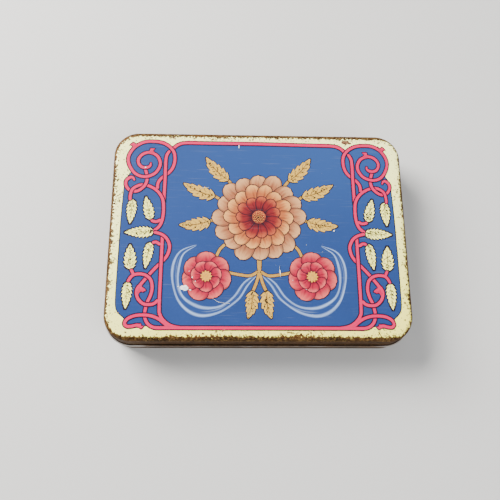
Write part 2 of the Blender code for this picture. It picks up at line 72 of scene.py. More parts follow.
# Along X: the lid's tongue at a hinge, the tray's two beside it, the gap between them, and how far
# the slot in the bead reaches past the lid's tongue on each side
KNUCKLE = 0.008
OUTER_KNUCKLE = 0.0035
KNUCKLE_GAP = 0.0003
SLOT_GAP = 1.5 * KNUCKLE_GAP

# Rows of the flat top and bottom: inset from the outside, and share of the plan that is kept
FLAT_ROWS = ((0.011, 0.03), (0.011, 0.5), (0.011, 1.0), (0.004, 1.0))
FLOOR_HALF = 9.0

# Lamps: place, aim, width and depth in metres, watts and colour
LAMPS = {
    "window": ((-0.62, 0.46, 0.62), (0.0, 0.0, 0.0), 0.6, 0.6, 42.0, (1.0, 0.985, 0.96)),
    "fill": ((0.60, -0.60, 0.60), (0.0, 0.0, 0.0), 0.8, 0.8, 11.5, (0.97, 0.98, 1.0)),
    "ceiling": ((0.10, 0.76, 1.08), (0.10, 0.76, 0.0), 1.3, 0.56, 1.0, (0.86, 0.93, 1.0)),
}


def metres(name, description, default):
    """A length, which the sidebar shows with its unit."""
    return bpy.props.FloatProperty(name=name, description=description, default=default, unit="LENGTH")


def swatch(name, description, default):
    """A linear colour."""
    return bpy.props.FloatVectorProperty(
        name=name, description=description, default=default, subtype="COLOR", min=0.0, max=1.0,
    )


class TinShape(bpy.types.PropertyGroup):
    """Sizes of the pressed shells, over the lid's skirt."""

    length: metres("Length", "Along the tin, over the lid", LID_HIGH[0] - LID_LOW[0])
    depth: metres("Depth", "Across the tin, over the lid", -2 * LID_LOW[1])
    height: metres("Height", "From the table to the lid's top", LID_HIGH[2])
    corner: metres("Corner radius", "Plan corners of the lid", 0.0115)
    sheet: metres("Sheet", "Thickness of the tinplate", 0.0005)
    edge: metres("Lid edge radius", "Rounding of the lid's rim", 0.0022)
    foot: metres("Tray edge radius", "Rounding under the tray", 0.0018)
    lid_bottom: metres("Lid's lower edge", "Height of the skirt's hem", 0.0127)
    bead_bottom: metres("Bead's lower edge", "Height at which the bead starts", 0.0110)
    bead_top: metres("Bead's upper edge", "Height at which the bead ends", 0.0124)
    bead_reach: metres("Bead's reach", "How far the bead stands out", TRAY_HIGH[0] - LID_HIGH[0])
    neck_inset: metres("Neck inset", "From the lid's outside to the neck", 0.0015)
    curl: metres("Curl radius", "The rolled edge of the tray's mouth", 0.0006)


class TinPrint(bpy.types.PropertyGroup):
    """Sizes of the drawn ornament."""

    stroke: metres("Stroke", "Width of a border stroke with its outline", 0.00226)
    outline: metres("Outline", "Width of the dark line round each shape", 0.00045)
    layer: metres("Layer", "Rise from one ink to the next", 0.000012)


class TinColours(bpy.types.PropertyGroup):
    """Inks and lacquers, as linear colours."""

    cream: swatch("Cream", "Lacquer of the lid's margin", (0.93, 0.85, 0.16))
    blue: swatch("Blue", "Ground of the print", (0.0155, 0.0395, 0.142))
    pink: swatch("Pink", "Border strokes", (0.52, 0.003, 0.070))
    ink: swatch("Ink", "Dark outlines", (0.010, 0.005, 0.012))
    leaf: swatch("Leaf", "Cream leaves of the border", (0.93, 0.88, 0.22))
    rust: swatch("Brown", "Browned bare tinplate", (0.040, 0.0165, 0.0042))


class TinWear(bpy.types.PropertyGroup):
    """How far the wear has gone."""

    rim: metres("Rim wear", "Width of the bared strip round the lid", 0.00135)
    ragged: metres("Raggedness", "How far the bared strip wanders", 0.0030)


class TinStage(bpy.types.PropertyGroup):
    """Camera and floor."""

    lens: bpy.props.FloatProperty(
        name="Lens", description="Focal length of the camera in millimetres", default=44.64,
    )
    camera_place: bpy.props.FloatVectorProperty(
        name="Camera", description="Where the camera stands", subtype="TRANSLATION", unit="LENGTH",
        default=(-0.01546, -0.09333, 0.28613),
    )
    camera_turn: bpy.props.FloatVectorProperty(
        name="Camera turn", description="Pitch, roll and yaw of the camera", subtype="EULER",
        default=(math.radians(17.760), math.radians(-2.385), math.radians(-0.242)),
    )
    floor_colour: swatch("Floor", "Plain pale floor", (0.50, 0.492, 0.475))


# Middle lines of the border's left half, in millimetres: x, y and how high the stroke passes
BORDER_STROKES = {
    "spiral": [
        (-50.1, 34.0, 1), (-50.3, 32.0, 1), (-52.0, 31.0, 1), (-54.1, 31.3, 1), (-55.6, 32.9, 1),
        (-55.9, 35.2, 1), (-54.4, 37.5, 1), (-52.0, 38.7, 1), (-49.7, 38.5, 1), (-47.2, 37.0, 1),
        (-45.8, 34.0, 1), (-46.1, 31.1, 1), (-48.1, 28.1, 1), (-51.5, 26.5, 1), (-55.0, 26.8, 1),
        (-58.0, 28.9, 1), (-60.3, 33.1, 1), (-60.4, 37.1, 1), (-57.9, 41.4, 1), (-53.5, 44.1, 1),
        (-49.0, 44.5, 1), (-45.1, 43.9, 2), (-41.8, 42.0, 2), (-39.6, 39.1, 2), (-39.0, 35.5, 1),
        (-39.6, 31.8, 0), (-41.3, 28.9, 0), (-45.0, 25.6, 0), (-46.4, 23.0, 1), (-46.5, 19.6, 1),
    ],
    "spiral_stem": [
        (-52.7, 31.0, 0), (-51.8, 27.8, 0), (-51.5, 24.9, 0), (-52.2, 22.3, 2), (-54.1, 20.1, 2),
        (-56.1, 19.1, 1), (-58.2, 19.2, 0), (-59.9, 20.3, 0), (-61.0, 22.2, 1), (-60.9, 24.4, 1),
        (-59.3, 25.9, 1), (-57.9, 25.8, 1), (-57.0, 24.0, 1),
    ],
    "upper_loop": [
        (-58.7, 14.2, 1), (-58.7, 17.1, 1), (-57.9, 20.0, 1), (-55.9, 21.6, 1), (-53.9, 22.3, 1),
        (-51.0, 22.0, 1), (-48.0, 20.5, 1), (-45.6, 18.3, 2), (-43.9, 15.2, 2), (-43.4, 11.7, 2),
        (-43.4, 8.0, 2), (-43.9, 4.6, 1), (-45.2, 1.8, 1), (-47.7, -0.3, 1),
    ],
    "side_loop": [
        (-47.7, -0.6, 2), (-44.2, -1.5, 2), (-41.7, -3.3, 2), (-40.2, -6.2, 1), (-40.1, -8.8, 1),
        (-41.0, -11.7, 0), (-42.9, -14.2, 0), (-46.6, -18.2, 0), (-50.1, -22.5, 0),
        (-52.0, -25.0, 1), (-53.4, -27.0, 1), (-53.5, -29.5, 1), (-52.4, -31.9, 2),
        (-50.3, -33.6, 2), (-47.9, -33.9, 2), (-45.6, -33.3, 1), (-43.9, -31.4, 1),
    ],
    "lower_loop": [
        (-57.9, -24.2, 1), (-56.3, -21.5, 1), (-54.6, -20.4, 1), (-51.9, -20.2, 1),
        (-49.5, -21.0, 1), (-47.7, -22.8, 1), (-47.0, -25.3, 1), (-47.0, -27.7, 1),
        (-47.7, -30.5, 1), (-48.6, -32.6, 1), (-49.5, -36.4, 0), (-49.5, -39.4, 0),
        (-48.5, -41.8, 1), (-46.8, -43.3, 1), (-44.5, -44.0, 1), (-40.0, -44.0, 1),
    ],
    "foot": [
        (-37.4, -43.9, 1), (-39.6, -43.1, 1), (-41.3, -41.9, 1), (-43.1, -40.5, 1),
        (-45.2, -39.4, 1), (-47.2, -38.8, 1), (-49.4, -38.5, 1), (-52.7, -38.6, 1),
        (-55.3, -39.3, 1), (-57.2, -40.5, 1), (-58.0, -42.2, 1), (-57.0, -43.4, 1),
        (-55.0, -43.4, 1), (-52.8, -42.9, 1), (-51.5, -43.1, 1), (-50.7, -43.8, 1),
    ],
    "upper_bar": [
        (-41.3, 40.2, 1), (-42.8, 37.6, 1), (-43.2, 34.0, 1), (-43.2, 26.0, 1), (-43.3, 19.0, 1),
        (-43.4, 13.0, 1),
    ],
    "lower_bar": [
        (-43.4, -1.6, 1), (-43.4, -8.0, 1), (-43.5, -20.0, 1), (-43.5, -35.3, 1),
        (-43.0, -38.4, 1), (-41.6, -40.6, 1), (-39.2, -42.6, 1), (-36.5, -43.6, 1),
        (-33.5, -44.0, 1),
    ],
    "top_bar": [
        (-41.0, 39.6, 1), (-39.4, 41.6, 1), (-37.4, 43.1, 1), (-34.1, 44.0, 1), (-24.0, 44.0, 1),
        (-12.0, 44.0, 1), (2.5, 44.0, 1),
    ],
    "bottom_bar": [
        (-45.4, -44.0, 1), (-36.5, -44.0, 1), (-24.0, -44.0, 1), (-12.0, -44.0, 1), (2.5, -44.0, 1),
    ],
    "second_leaf_stem": [(-49.1, 5.4, 1), (-47.9, 4.6, 1), (-46.1, 4.4, 1), (-44.0, 5.6, 1)],
    "fourth_leaf_stem": [(-56.8, -17.6, 1), (-55.2, -20.6, 1)],
    "fifth_leaf_stem": [(-48.2, -6.0, 1), (-46.1, -5.4, 1), (-43.8, -6.9, 1)],
}

# How wide a stroke is at its first and its last point, where it tapers
BORDER_TAPERS = {"spiral": (0.62, 1.0), "spiral_stem": (1.0, 0.70)}

# Thorns of the border: where each leaves the middle of its stroke, which way it points, its size
# and which hand its sharp tip is on, in millimetres
BORDER_THORNS = [
    ((-50.1, 38.5), (0.12, 1.0), 1.0, 1), ((-57.5, 41.7), (-0.72, 0.69), 1.0, -1),
    ((-51.8, -43.0), (0.80, -0.60), 0.72, -1),
]

# A thorn's edge: how far across and how far out from the stroke's middle line, in millimetres
THORN_EDGE = [
    (-1.5, 0.3), (-0.95, 0.95), (-0.78, 1.5), (-0.85, 2.0), (-0.55, 2.32), (0.2, 2.4), (0.8, 2.5),
    (1.45, 2.4), (1.0, 1.95), (0.75, 1.5), (0.9, 0.95), (1.5, 0.3), (0.8, -0.5), (-0.8, -0.5),
]

# The hooked thorn inside the border's lower loop, in millimetres
LOOP_THORN = [
    (-53.5, -25.3), (-52.6, -25.9), (-52.0, -25.7), (-51.45, -24.9), (-51.35, -26.0), (-50.6, -26.5),
    (-49.8, -27.2), (-49.7, -27.8), (-50.4, -28.0), (-50.85, -28.4), (-51.6, -28.1), (-52.3, -28.6),
    (-52.9, -29.6), (-53.7, -28.2),
]
LOOP_THORN_MIDDLE = (-51.9, -27.2)

# Left leaves of the border, in millimetres: stem end, tip, width and number of teeth a side
BORDER_LEAVES = [
    ((-57.5, 14.9), (-58.2, 3.4), 4.8, 7),
    ((-49.0, 5.3), (-51.6, 16.4), 4.9, 6),
    ((-47.4, -0.5), (-60.2, -0.9), 5.5, 8),
    ((-57.0, -18.1), (-57.5, -6.6), 5.8, 6),
    ((-48.7, -5.6), (-50.4, -17.5), 4.5, 7),
    ((-57.6, -23.8), (-58.1, -35.7), 4.7, 7),
]

# Left half of the blue ground's edge, in millimetres, from the top's middle round to the bottom's
FIELD_EDGE = [
    (0.0, 44.4), (-12.0, 44.4), (-24.0, 44.4), (-34.5, 44.4), (-38.4, 43.0), (-40.9, 40.6),
    (-43.0, 42.4), (-46.4, 44.1), (-49.4, 44.6), (-53.5, 44.2), (-57.6, 41.6), (-59.8, 38.4),
    (-60.6, 35.0), (-60.2, 31.6), (-58.9, 28.6), (-60.2, 26.4), (-61.3, 24.2), (-61.6, 20.0),
    (-62.0, 8.0), (-62.2, -8.0), (-62.4, -28.0), (-62.2, -34.2), (-61.3, -36.8), (-59.8, -38.4),
    (-58.2, -39.8), (-58.4, -42.0), (-57.2, -43.6), (-55.1, -43.8), (-52.8, -43.4),
    (-50.6, -43.5), (-48.9, -42.9), (-46.8, -43.9), (-44.0, -44.4), (-30.0, -44.4),
    (-15.0, -44.4), (0.0, -44.4),
]

# The long blue ground is drawn towards a line along X through its middle: half that line, in metres
SPINE_HALF = 0.030

# The spray of flowers in the middle, in millimetres: the big flower's centre and its heart's radius
DAHLIA_CENTRE = (0.0, 7.0)
DAHLIA_HEART = 3.1

# The stamens are dots on a spiral that turns by the golden angle, in radians, from one to the next
STAMENS = {"count": 34, "within": 2.7, "size": 0.21, "turn": 2.39996}

# The big flower's rings from outside: piece, slot and CAD node, then the number of petals, the radii
# at which they start and end and their width, then the ink's name and its colours at a petal's
# heart, body, tip and streaks
DAHLIA_RINGS = [
    ("dahlia_outer", "tan_print", "dahlia_petals", (16, 7.0, 21.0, 8.6), "tan petal ink", (
        (0.060, 0.014, 0.008), (0.27, 0.088, 0.036), (0.56, 0.30, 0.13), (0.11, 0.028, 0.012),
    )),
    ("dahlia_inner", "orange_print", "dahlia_inner_petals", (14, 4.5, 15.6, 7.0), "orange petal ink", (
        (0.050, 0.008, 0.008), (0.33, 0.085, 0.024), (0.66, 0.32, 0.095), (0.13, 0.022, 0.010),
    )),
    ("dahlia_middle", "plum_print", "dahlia_heart", (11, 2.5, 10.4, 5.2), "red petal ink", (
        (0.020, 0.003, 0.008), (0.16, 0.010, 0.012), (0.40, 0.085, 0.030), (0.045, 0.004, 0.008),
    )),
]

# The left red flower: its centre, its two rings as above with their layer and turn, and the same
# four colours
BLOSSOM_CENTRE = (-23.5, -21.0)
BLOSSOM_RINGS = (
    ((7, 1.6, 11.0, 9.4), "blossom", 0.0),
    ((7, 1.6, 11.0 * 0.62, 9.4 * 0.62), "blossom_middle", 0.45),
)
BLOSSOM_INK = ((0.050, 0.002, 0.008), (0.33, 0.008, 0.030), (0.60, 0.11, 0.09), (0.11, 0.003, 0.012))

# Gold leaves of the spray's left half, given as the border's leaves are
SPRAY_LEAVES = [
    ((-14.0, 25.0), (-24.4, 36.6), 6.8, 5),
    ((-20.0, 17.0), (-34.6, 23.4), 6.8, 5),
    ((-22.0, 5.0), (-36.0, 3.0), 6.8, 5),
    ((-3.4, -27.5), (-5.2, -39.8), 6.4, 5),
]

# Middle lines of the spray's stems, its left half, and of the left ribbon, in millimetres
SPRAY_STEMS = [
    [(0.35, -10.0), (0.2, -17.0), (-1.1, -23.0), (-3.2, -28.4)],
    [(-0.4, -18.6), (-4.0, -20.6), (-9.0, -20.2), (-15.0, -19.0)],
    [(-10.0, 20.0), (-14.6, 25.8)],
    [(-16.0, 14.4), (-20.8, 17.5)],
    [(-18.0, 5.6), (-22.8, 5.0)],
    [(-15.2, -6.0), (-17.6, -8.6), (-19.4, -12.4)],
]
RIBBON = [
    (-1.0, -20.0), (-6.0, -24.5), (-10.5, -31.0), (-18.0, -36.0), (-27.0, -36.5), (-34.5, -31.0),
    (-37.2, -21.0), (-35.0, -11.0), (-28.0, -6.5),
]

# Pale scuffs on the lid, in millimetres: middle, half sizes, turn in degrees and how jagged
PALE_SCUFFS = [
    ((-33.0, -26.4), (2.0, 1.1), 4.0, 0.5), ((-35.6, -25.8), (0.35, 0.2), 20.0, 0.5),
    ((-30.4, -27.3), (0.5, 0.25), -20.0, 0.5), ((-29.6, -21.6), (0.22, 0.3), 0.0, 0.5),
    ((-28.2, -23.4), (0.16, 0.2), 0.0, 0.5), ((-31.0, -18.8), (0.16, 0.16), 0.0, 0.5),
    ((34.2, 0.7), (0.36, 0.3), 0.0, 0.4), ((9.3, -19.0), (0.2, 0.9), 8.0, 0.5),
    ((-9.1, 42.4), (0.22, 0.8), 5.0, 0.4), ((-52.4, 31.0), (0.38, 0.3), 0.0, 0.4),
    ((14.8, -22.6), (0.14, 0.14), 0.0, 0.3), ((20.6, -26.8), (0.16, 0.12), 0.0, 0.3),
]

# Rust spots in the margin, given as the scuffs are
RUST_SPOTS = [
    ((41.5, 45.5), (1.7, 1.0), 8.0, 0.42), ((43.6, 45.1), (0.7, 0.5), 0.0, 0.5),
    ((64.1, -32.6), (0.42, 0.5), 0.0, 0.4), ((63.5, -40.2), (0.34, 0.3), 0.0, 0.4),
    ((-61.0, -37.6), (0.36, 0.3), 0.0, 0.4), ((-57.4, -46.0), (0.42, 0.34), 0.0, 0.5),
    ((-18.8, -45.6), (0.5, 0.34), 0.0, 0.5), ((-15.6, -45.0), (0.75, 0.3), 10.0, 0.5),
    ((-24.4, -46.5), (0.5, 0.4), 0.0, 0.5), ((12.6, -45.8), (0.5, 0.3), 0.0, 0.5),
    ((22.0, -46.0), (0.4, 0.34), 0.0, 0.5), ((-40.0, 46.6), (0.6, 0.35), -20.0, 0.5),
]

# Cracks in the margin and fine scratches in the print, as middle lines in millimetres
CRACKS = [
    [(-2.6, 48.6), (-2.3, 47.4), (-2.8, 46.2), (-2.5, 45.5)],
    [(44.9, 48.6), (45.2, 47.4), (44.8, 46.4), (45.3, 45.4)],
    [(-65.6, -12.2), (-64.6, -12.7), (-63.7, -13.2), (-62.8, -14.6)],
    [(-65.2, -14.8), (-64.4, -14.1), (-63.9, -13.3)],
    [(-39.6, 47.4), (-39.1, 46.4), (-39.4, 45.6)],
]
FINE_SCRATCHES = [
    [(-20.6, -31.0), (-18.4, -32.4), (-15.8, -33.1), (-13.0, -33.3)],
    [(9.2, -16.0), (9.0, -18.6), (9.5, -21.4)],
    [(-27.0, 20.5), (-25.2, 21.2), (-22.8, 21.4)],
]

# Half widths of the ribbons, stems, cracks and scratches, in millimetres
RIBBON_HALF = 2.3
STEM_HALF = 0.62
CRACK_HALF = 0.16
SCRATCH_HALF = 0.07

# Height of each layer of the print over the lid's top, in millimetres
LEVEL = {
    "foot": 0.004, "ground_line": 0.016, "ground": 0.030, "leaf_line": 0.050, "ribbon": 0.055,
    "leaf": 0.062, "stem_line": 0.064, "stem": 0.072, "gold_leaf_line": 0.075, "border": 0.085,
    "gold_leaf": 0.087, "thorn": 0.1172, "dahlia": 0.12, "rust": 0.14, "blossom": 0.15,
    "blossom_middle": 0.20, "heart": 0.262, "stamens": 0.272, "scuff": 0.30,
}

# How much higher a stroke lies for each step of its passing height, for each stroke that is laid
# before it, and a ring of the big flower over the one outside it, in millimetres
PASSING_RISE = 0.032
STROKE_RISE = 0.0006
RING_RISE = 0.055


def scene_settings():
    """The property groups that hold this scene's sizes and colours."""
    scene = bpy.context.scene
    return scene.tin_shape, scene.tin_print, scene.tin_colours, scene.tin_wear, scene.tin_stage


class Value:
    """A number that changes over a surface. Python's operators on it add Math nodes."""

    def __init__(self, paint, socket):
        self.paint = paint
        self.socket = socket

    def math(self, operation, *others):
        """This value and the others through one Math node."""
        inputs = dict(enumerate((self, *others)))
        return self.paint.node("ShaderNodeMath", {"operation": operation}, inputs)

    def __add__(self, other):
        return self.math("ADD", other)

    __radd__ = __add__

    def __sub__(self, other):
        return self.math("SUBTRACT", other)

    def __rsub__(self, other):
        return self.paint.node("ShaderNodeMath", {"operation": "SUBTRACT"}, {0: other, 1: self})

    def __mul__(self, other):
        return self.math("MULTIPLY", other)

    __rmul__ = __mul__

    def __abs__(self):
        return self.math("ABSOLUTE")

    def least(self, other):
        """The smaller of two values."""
        return self.math("MINIMUM", other)

    def most(self, other):
        """The larger of two values."""
        return self.math("MAXIMUM", other)

    def step(self, low, high):
        """Rise smoothly from 0 at the low value to 1 at the high one."""
        settings = {"interpolation_type": "SMOOTHSTEP"}
        return self.paint.node("ShaderNodeMapRange", settings, {0: self, 1: low, 2: high})


class Paint:
    """A material or a world under construction: its nodes are added by one method."""

    def __init__(self, made, place="Object"):
        made.use_nodes = True
        self.made = made
        self.nodes = made.node_tree.nodes
        self.links = made.node_tree.links
        self.nodes.clear()
        self.place = self.node("ShaderNodeTexCoord", output=place)
        axes = self.node("ShaderNodeSeparateXYZ", inputs={0: self.place}, output=None)
        self.x, self.y, self.z = [Value(self, axes.outputs[i]) for i in range(3)]

    def node(self, kind, settings=None, inputs=None, output=0):
        """Add a node, give it its settings, then its sockets' values or links."""
        node = self.nodes.new(kind)
        for name, setting in (settings or {}).items():
            setattr(node, name, setting)
        for key, value in (inputs or {}).items():
            if isinstance(value, Value):
                self.links.new(value.socket, node.inputs[key])
            else:
                node.inputs[key].default_value = value
        return node if output is None else Value(self, node.outputs[output])

    def noise(self, size, detail=3.0, roughness=0.55, seed=0.0):
        """Cloudy noise from 0 to 1 whose blots are about this size in metres."""
        return self.node("ShaderNodeTexNoise", {"noise_dimensions": "4D"}, {
            "Vector": self.place, "W": seed, "Scale": 1.0 / size, "Detail": detail,
            "Roughness": roughness,
        })

    def streaks(self, sizes, turn=0.0, detail=2.0):
        """Noise drawn out into streaks of these three sizes in metres, turned in the tin's plane."""
        drawn_out = self.node("ShaderNodeMapping", inputs={
            "Vector": self.place, "Rotation": (0.0, 0.0, turn), "Scale": [1.0 / size for size in sizes],
        })
        return self.grain(drawn_out, detail)

    def grain(self, place, detail):
        """Noise from 0 to 1 on coordinates that are already to scale."""
        return self.node("ShaderNodeTexNoise", inputs={"Vector": place, "Scale": 1.0, "Detail": detail})

    def fibres(self, along, across, third, detail):
        """Noise drawn out along a piece, from its own map's two coordinates and a third one."""
        place = self.node("ShaderNodeCombineXYZ", inputs={0: along, 1: across, 2: third})
        return self.grain(place, detail)

    def mix(self, factor, first, second):
        """Blend two colours by a factor from 0 to 1."""
        inputs = {0: factor, 6: self.colour(first), 7: self.colour(second)}
        return self.node("ShaderNodeMix", {"data_type": "RGBA"}, inputs, output=2)

    def colour(self, colour):
        """Give a plain colour its alpha and leave a linked one alone."""
        return colour if isinstance(colour, Value) else (*colour, 1.0)

    def follow(self):
        """The piece's own map: metres or shares along it, and -1 to 1 across it."""
        place = self.node("ShaderNodeUVMap")
        split = self.node("ShaderNodeSeparateXYZ", inputs={0: place}, output=None)
        return Value(self, split.outputs[0]), Value(self, split.outputs[1])

    def bump(self, height):
        """A normal from a height in metres."""
        return self.node("ShaderNodeBump", inputs={"Strength": 1.0, "Distance": 1.0, "Height": height})

    def finish(self, colour, roughness=0.35, metallic=0.0, height=None, coat=0.0, specular=0.3):
        """Close the material with its shader."""
        inputs = {
            "Base Color": self.colour(colour), "Roughness": roughness, "Metallic": metallic,
            "Coat Weight": coat, "Coat Roughness": 0.12, "Specular IOR Level": specular,
        }
        if height is not None:
            inputs["Normal"] = self.bump(height)
        shader = self.node("ShaderNodeBsdfPrincipled", inputs=inputs)
        self.node("ShaderNodeOutputMaterial", inputs={0: shader}, output=None)
        return self.made


def new_paint(name):
    """A material of this name, ready for its nodes."""
    return Paint(bpy.data.materials.new(name))


def toned(colour, amount):
    """A colour made darker or lighter by a factor."""
    return [amount * part for part in colour]


def rim_distance(paint, shape):
    """Distance from the lid's outside in plan, below zero inside it.

    It is the length of what |x| and |y| have beyond the corners' centres, plus the greater of
    the two where both fall short, less the corner radius.
    """
    beyond_x = abs(paint.x) - (shape.length / 2 - shape.corner)
    beyond_y = abs(paint.y) - (shape.depth / 2 - shape.corner)
    outer_x = beyond_x.most(0.0)
    outer_y = beyond_y.most(0.0)
    reach = (outer_x * outer_x + outer_y * outer_y).math("SQRT")
    return reach + beyond_x.most(beyond_y).least(0.0) - shape.corner


def browned_tin(paint, colours, rubs_and_lit_edge=0.35):
    """Bare tinplate gone brown: three browns in clouds and streaks, with golden rubs.

    The golden rubs are strongest where the share given for them is one, as on the lid's rounded edge.
    There they are partly real rubs and partly painted light: the share falls away down the skirt, so the
    edge is painted lighter and the skirt darker.
    """
    dark = toned(colours.rust, 0.45)
    cloud = paint.noise(0.0060, 4.0, 0.6, seed=1.3)
    fine = paint.noise(0.0009, 3.0, 0.7, seed=4.1)
    streaks = paint.streaks((0.012, 0.012, 0.0006), detail=3.0)
    brown = paint.mix(cloud.step(0.35, 0.66), dark, colours.rust)
    brown = paint.mix(streaks.step(0.50, 0.68) * 0.75, brown, (0.080, 0.030, 0.0075))
    return paint.mix(fine.step(0.42, 0.72) * (rubs_and_lit_edge * 0.65 + 0.22), brown, (0.190, 0.110, 0.034))


def rubbed_and_lit_front_left(paint):
    """Share of the tin's front left corner, where handling has rubbed it to bright metal, and where a
    painted highlight of the light from the left is laid.
    """
    return (paint.x * -1.0 + paint.y * -0.9).step(0.093, 0.099)


def lacquer_height(paint):
    """Height in metres of a pressed, lacquered sheet: slow waves and a fine orange peel."""
    waves = paint.noise(0.030, 1.0, 0.4, seed=2.0) * 0.00022
    peel = paint.noise(0.0011, 2.0, 0.5, seed=3.0) * 0.0000045
    return waves + peel


def cream_lacquer(name):
    """The lid's outside: cream lacquer, chipped ragged and browned along its rim and skirt, with painted
    light: a sheen on the cream, a rounded edge lighter than the skirt, and a highlight on the hem at the
    front left.
    """
    shape, _, colours, wear, _ = scene_settings()
    paint = new_paint(name)
    edge = rim_distance(paint, shape)
    crowd = paint.noise(0.011, 2.0, 0.5, seed=5.0) - 0.5
    bites = paint.noise(0.00105, 4.0, 0.70, seed=6.0)
    back = paint.y.step(0.034, 0.047) * 0.00050
    sides = (paint.x * -1.0).step(0.056, 0.064) * 0.00035 + paint.x.step(0.056, 0.064) * 0.00080
    deeper = edge + back - sides
    near = deeper.step(-wear.rim - 0.0010, -wear.rim + 0.0007)
    around = deeper.step(-wear.rim - wear.ragged, -wear.rim + 0.0006)
    loss = (bites - 0.5) * 1.7 + crowd * 0.46 + near * 0.34 + around * 0.21
    worn = loss.step(0.185, 0.215)
    skirt = 1.0 - paint.z.step(shape.height - 0.0015, shape.height - 0.0008)
    kept = paint.noise(0.0016, 4.0, 0.7, seed=7.0).step(0.62, 0.68)
    worn = worn.most(skirt * (1.0 - kept * 0.30))
    dots = paint.noise(0.00080, 2.0, 0.5, seed=8.0)
    front = (paint.y * -1.0).step(0.042, 0.046)
    specks = (dots + crowd * 0.30 + around * 0.05 + front * 0.035).step(0.712, 0.742)
    bare = worn.most(specks)
    shade = paint.noise(0.022, 3.0, 0.6, seed=10.0)
    cream = paint.mix(shade.step(0.3, 0.7), toned(colours.cream, 0.93), colours.cream)
    # Painted sheen: the cream is painted paler towards the back and the left, where the light falls on
    # it.
    painted_cream_sheen = (paint.y.step(-0.050, 0.050) + (paint.x * -1.0).step(0.040, 0.068) * 0.5).least(1.0)
    cream_and_sheen = paint.mix(painted_cream_sheen, cream, (0.93, 0.91, 0.36))
    stain = around * bites.step(0.40, 0.62)
    rim_stain = paint.mix(stain * 0.45, cream_and_sheen, (0.60, 0.42, 0.10))
    # Golden rubs on the rim: real rubbing, and painted light that makes the rounded edge lighter and the
    # skirt below it darker.
    brown = browned_tin(paint, colours, paint.z.step(shape.height - 0.0045, shape.height - 0.0006))
    surface = paint.mix(bare, rim_stain, brown)
    # Painted highlight: a pale line on the lid's hem at the front left corner, where the light from the
    # left catches it.
    hem = 1.0 - paint.z.step(shape.lid_bottom + 0.0004, shape.lid_bottom + 0.0008)
    surface = paint.mix(hem * rubbed_and_lit_front_left(paint) * 0.8, surface, (0.34, 0.25, 0.13))
    sound = 1.0 - bare
    height = lacquer_height(paint) + sound * 0.00003 + paint.noise(0.0007, 3.0) * bare * 0.00002
    return paint.finish(
        surface, roughness=0.22 + bare * 0.40, metallic=bare * 0.08, height=height,
        coat=sound * 0.32, specular=0.07,
    )


def bare_tinplate(name):
    """The inside of the tin: pale tinplate, lightly stained and scuffed."""
    paint = new_paint(name)
    stain = paint.noise(0.016, 4.0, 0.6, seed=12.0)
    rubs = paint.streaks((0.020, 0.0007, 0.0007), 0.5)
    pale = paint.mix(stain.step(0.42, 0.75), (0.66, 0.62, 0.54), (0.40, 0.33, 0.23))
    surface = paint.mix(rubs.step(0.60, 0.75) * 0.35, pale, (0.80, 0.78, 0.74))
    dots = paint.noise(0.0010, 2.0, seed=13.0).step(0.74, 0.78)
    surface = paint.mix(dots, surface, (0.13, 0.075, 0.035))
    height = paint.noise(0.030, 1.0, seed=14.0) * 0.00018 + rubs * 0.000006
    return paint.finish(surface, roughness=0.30 + stain * 0.18, metallic=0.9 - dots * 0.5, height=height)


def tray_tinplate(name):
    """The tray's outside: browned tinplate, its bead rubbed silver at the front corners, with a painted
    highlight at the front left and painted shadow in the gap between the bead and the lid's hem.

    The neck, which the lid keeps covered, is paler and only stained.
    """
    shape, _, colours, _, _ = scene_settings()
    paint = new_paint(name)
    left = rubbed_and_lit_front_left(paint)
    right = (paint.x + paint.y * -0.9).step(0.096, 0.106) * 0.45
    out = rim_distance(paint, shape)
    raised = paint.z.step(0.0104, 0.0110)
    bead = out.step(0.00040, 0.00050) * raised
    lip = out.step(0.00060, 0.00085) * raised
    scuffs = paint.streaks((0.009, 0.0011, 0.0011))
    # The bead is painted silver: bared by rubbing along its lip and at the front corners, and at the
    # front left also a painted highlight where the light from the left catches it.
    rubbed_and_lit_bead = (bead * left.most(right) + lip * (0.22 + scuffs.step(0.46, 0.70) * 0.5)).least(1.0)
    sides = paint.noise(0.0030, 4.0, 0.65, seed=15.0).step(0.56, 0.72) * 0.5
    brown = paint.mix(sides, browned_tin(paint, colours), (0.115, 0.068, 0.026))
    surface = paint.mix(rubbed_and_lit_bead, brown, (0.40, 0.37, 0.34))
    # Painted shadow: a near-black line along the top of the bead, in the gap between it and the lid's
    # hem.
    painted_gap_shadow = out.step(0.00002, 0.00010) * (1.0 - out.step(0.00036, 0.00046))
    painted_gap_shadow = painted_gap_shadow * paint.z.step(0.0112, 0.0120)
    surface = paint.mix(painted_gap_shadow * 0.92, surface, (0.006, 0.004, 0.003))
    stain = paint.noise(0.0065, 4.0, 0.65, seed=29.0)
    rubs = paint.streaks((0.016, 0.016, 0.0005)).step(0.50, 0.72)
    tin = paint.mix(stain.step(0.46, 0.66), (0.50, 0.46, 0.38), (0.20, 0.135, 0.070))
    covered = (paint.z + (stain - 0.5) * 0.006).step(shape.bead_top + 0.0010, shape.bead_top + 0.0026)
    surface = paint.mix(covered, surface, paint.mix(rubs * 0.4, tin, (0.62, 0.59, 0.53)))
    height = paint.noise(0.020, 1.0, seed=16.0) * 0.00015 + paint.noise(0.0008, 3.0) * 0.00001
    bare = (rubbed_and_lit_bead * 0.6).most(covered * 0.7)
    return paint.finish(
        surface, roughness=0.56 - bare * 0.36, metallic=0.08 + bare, height=height, specular=0.1,
    )


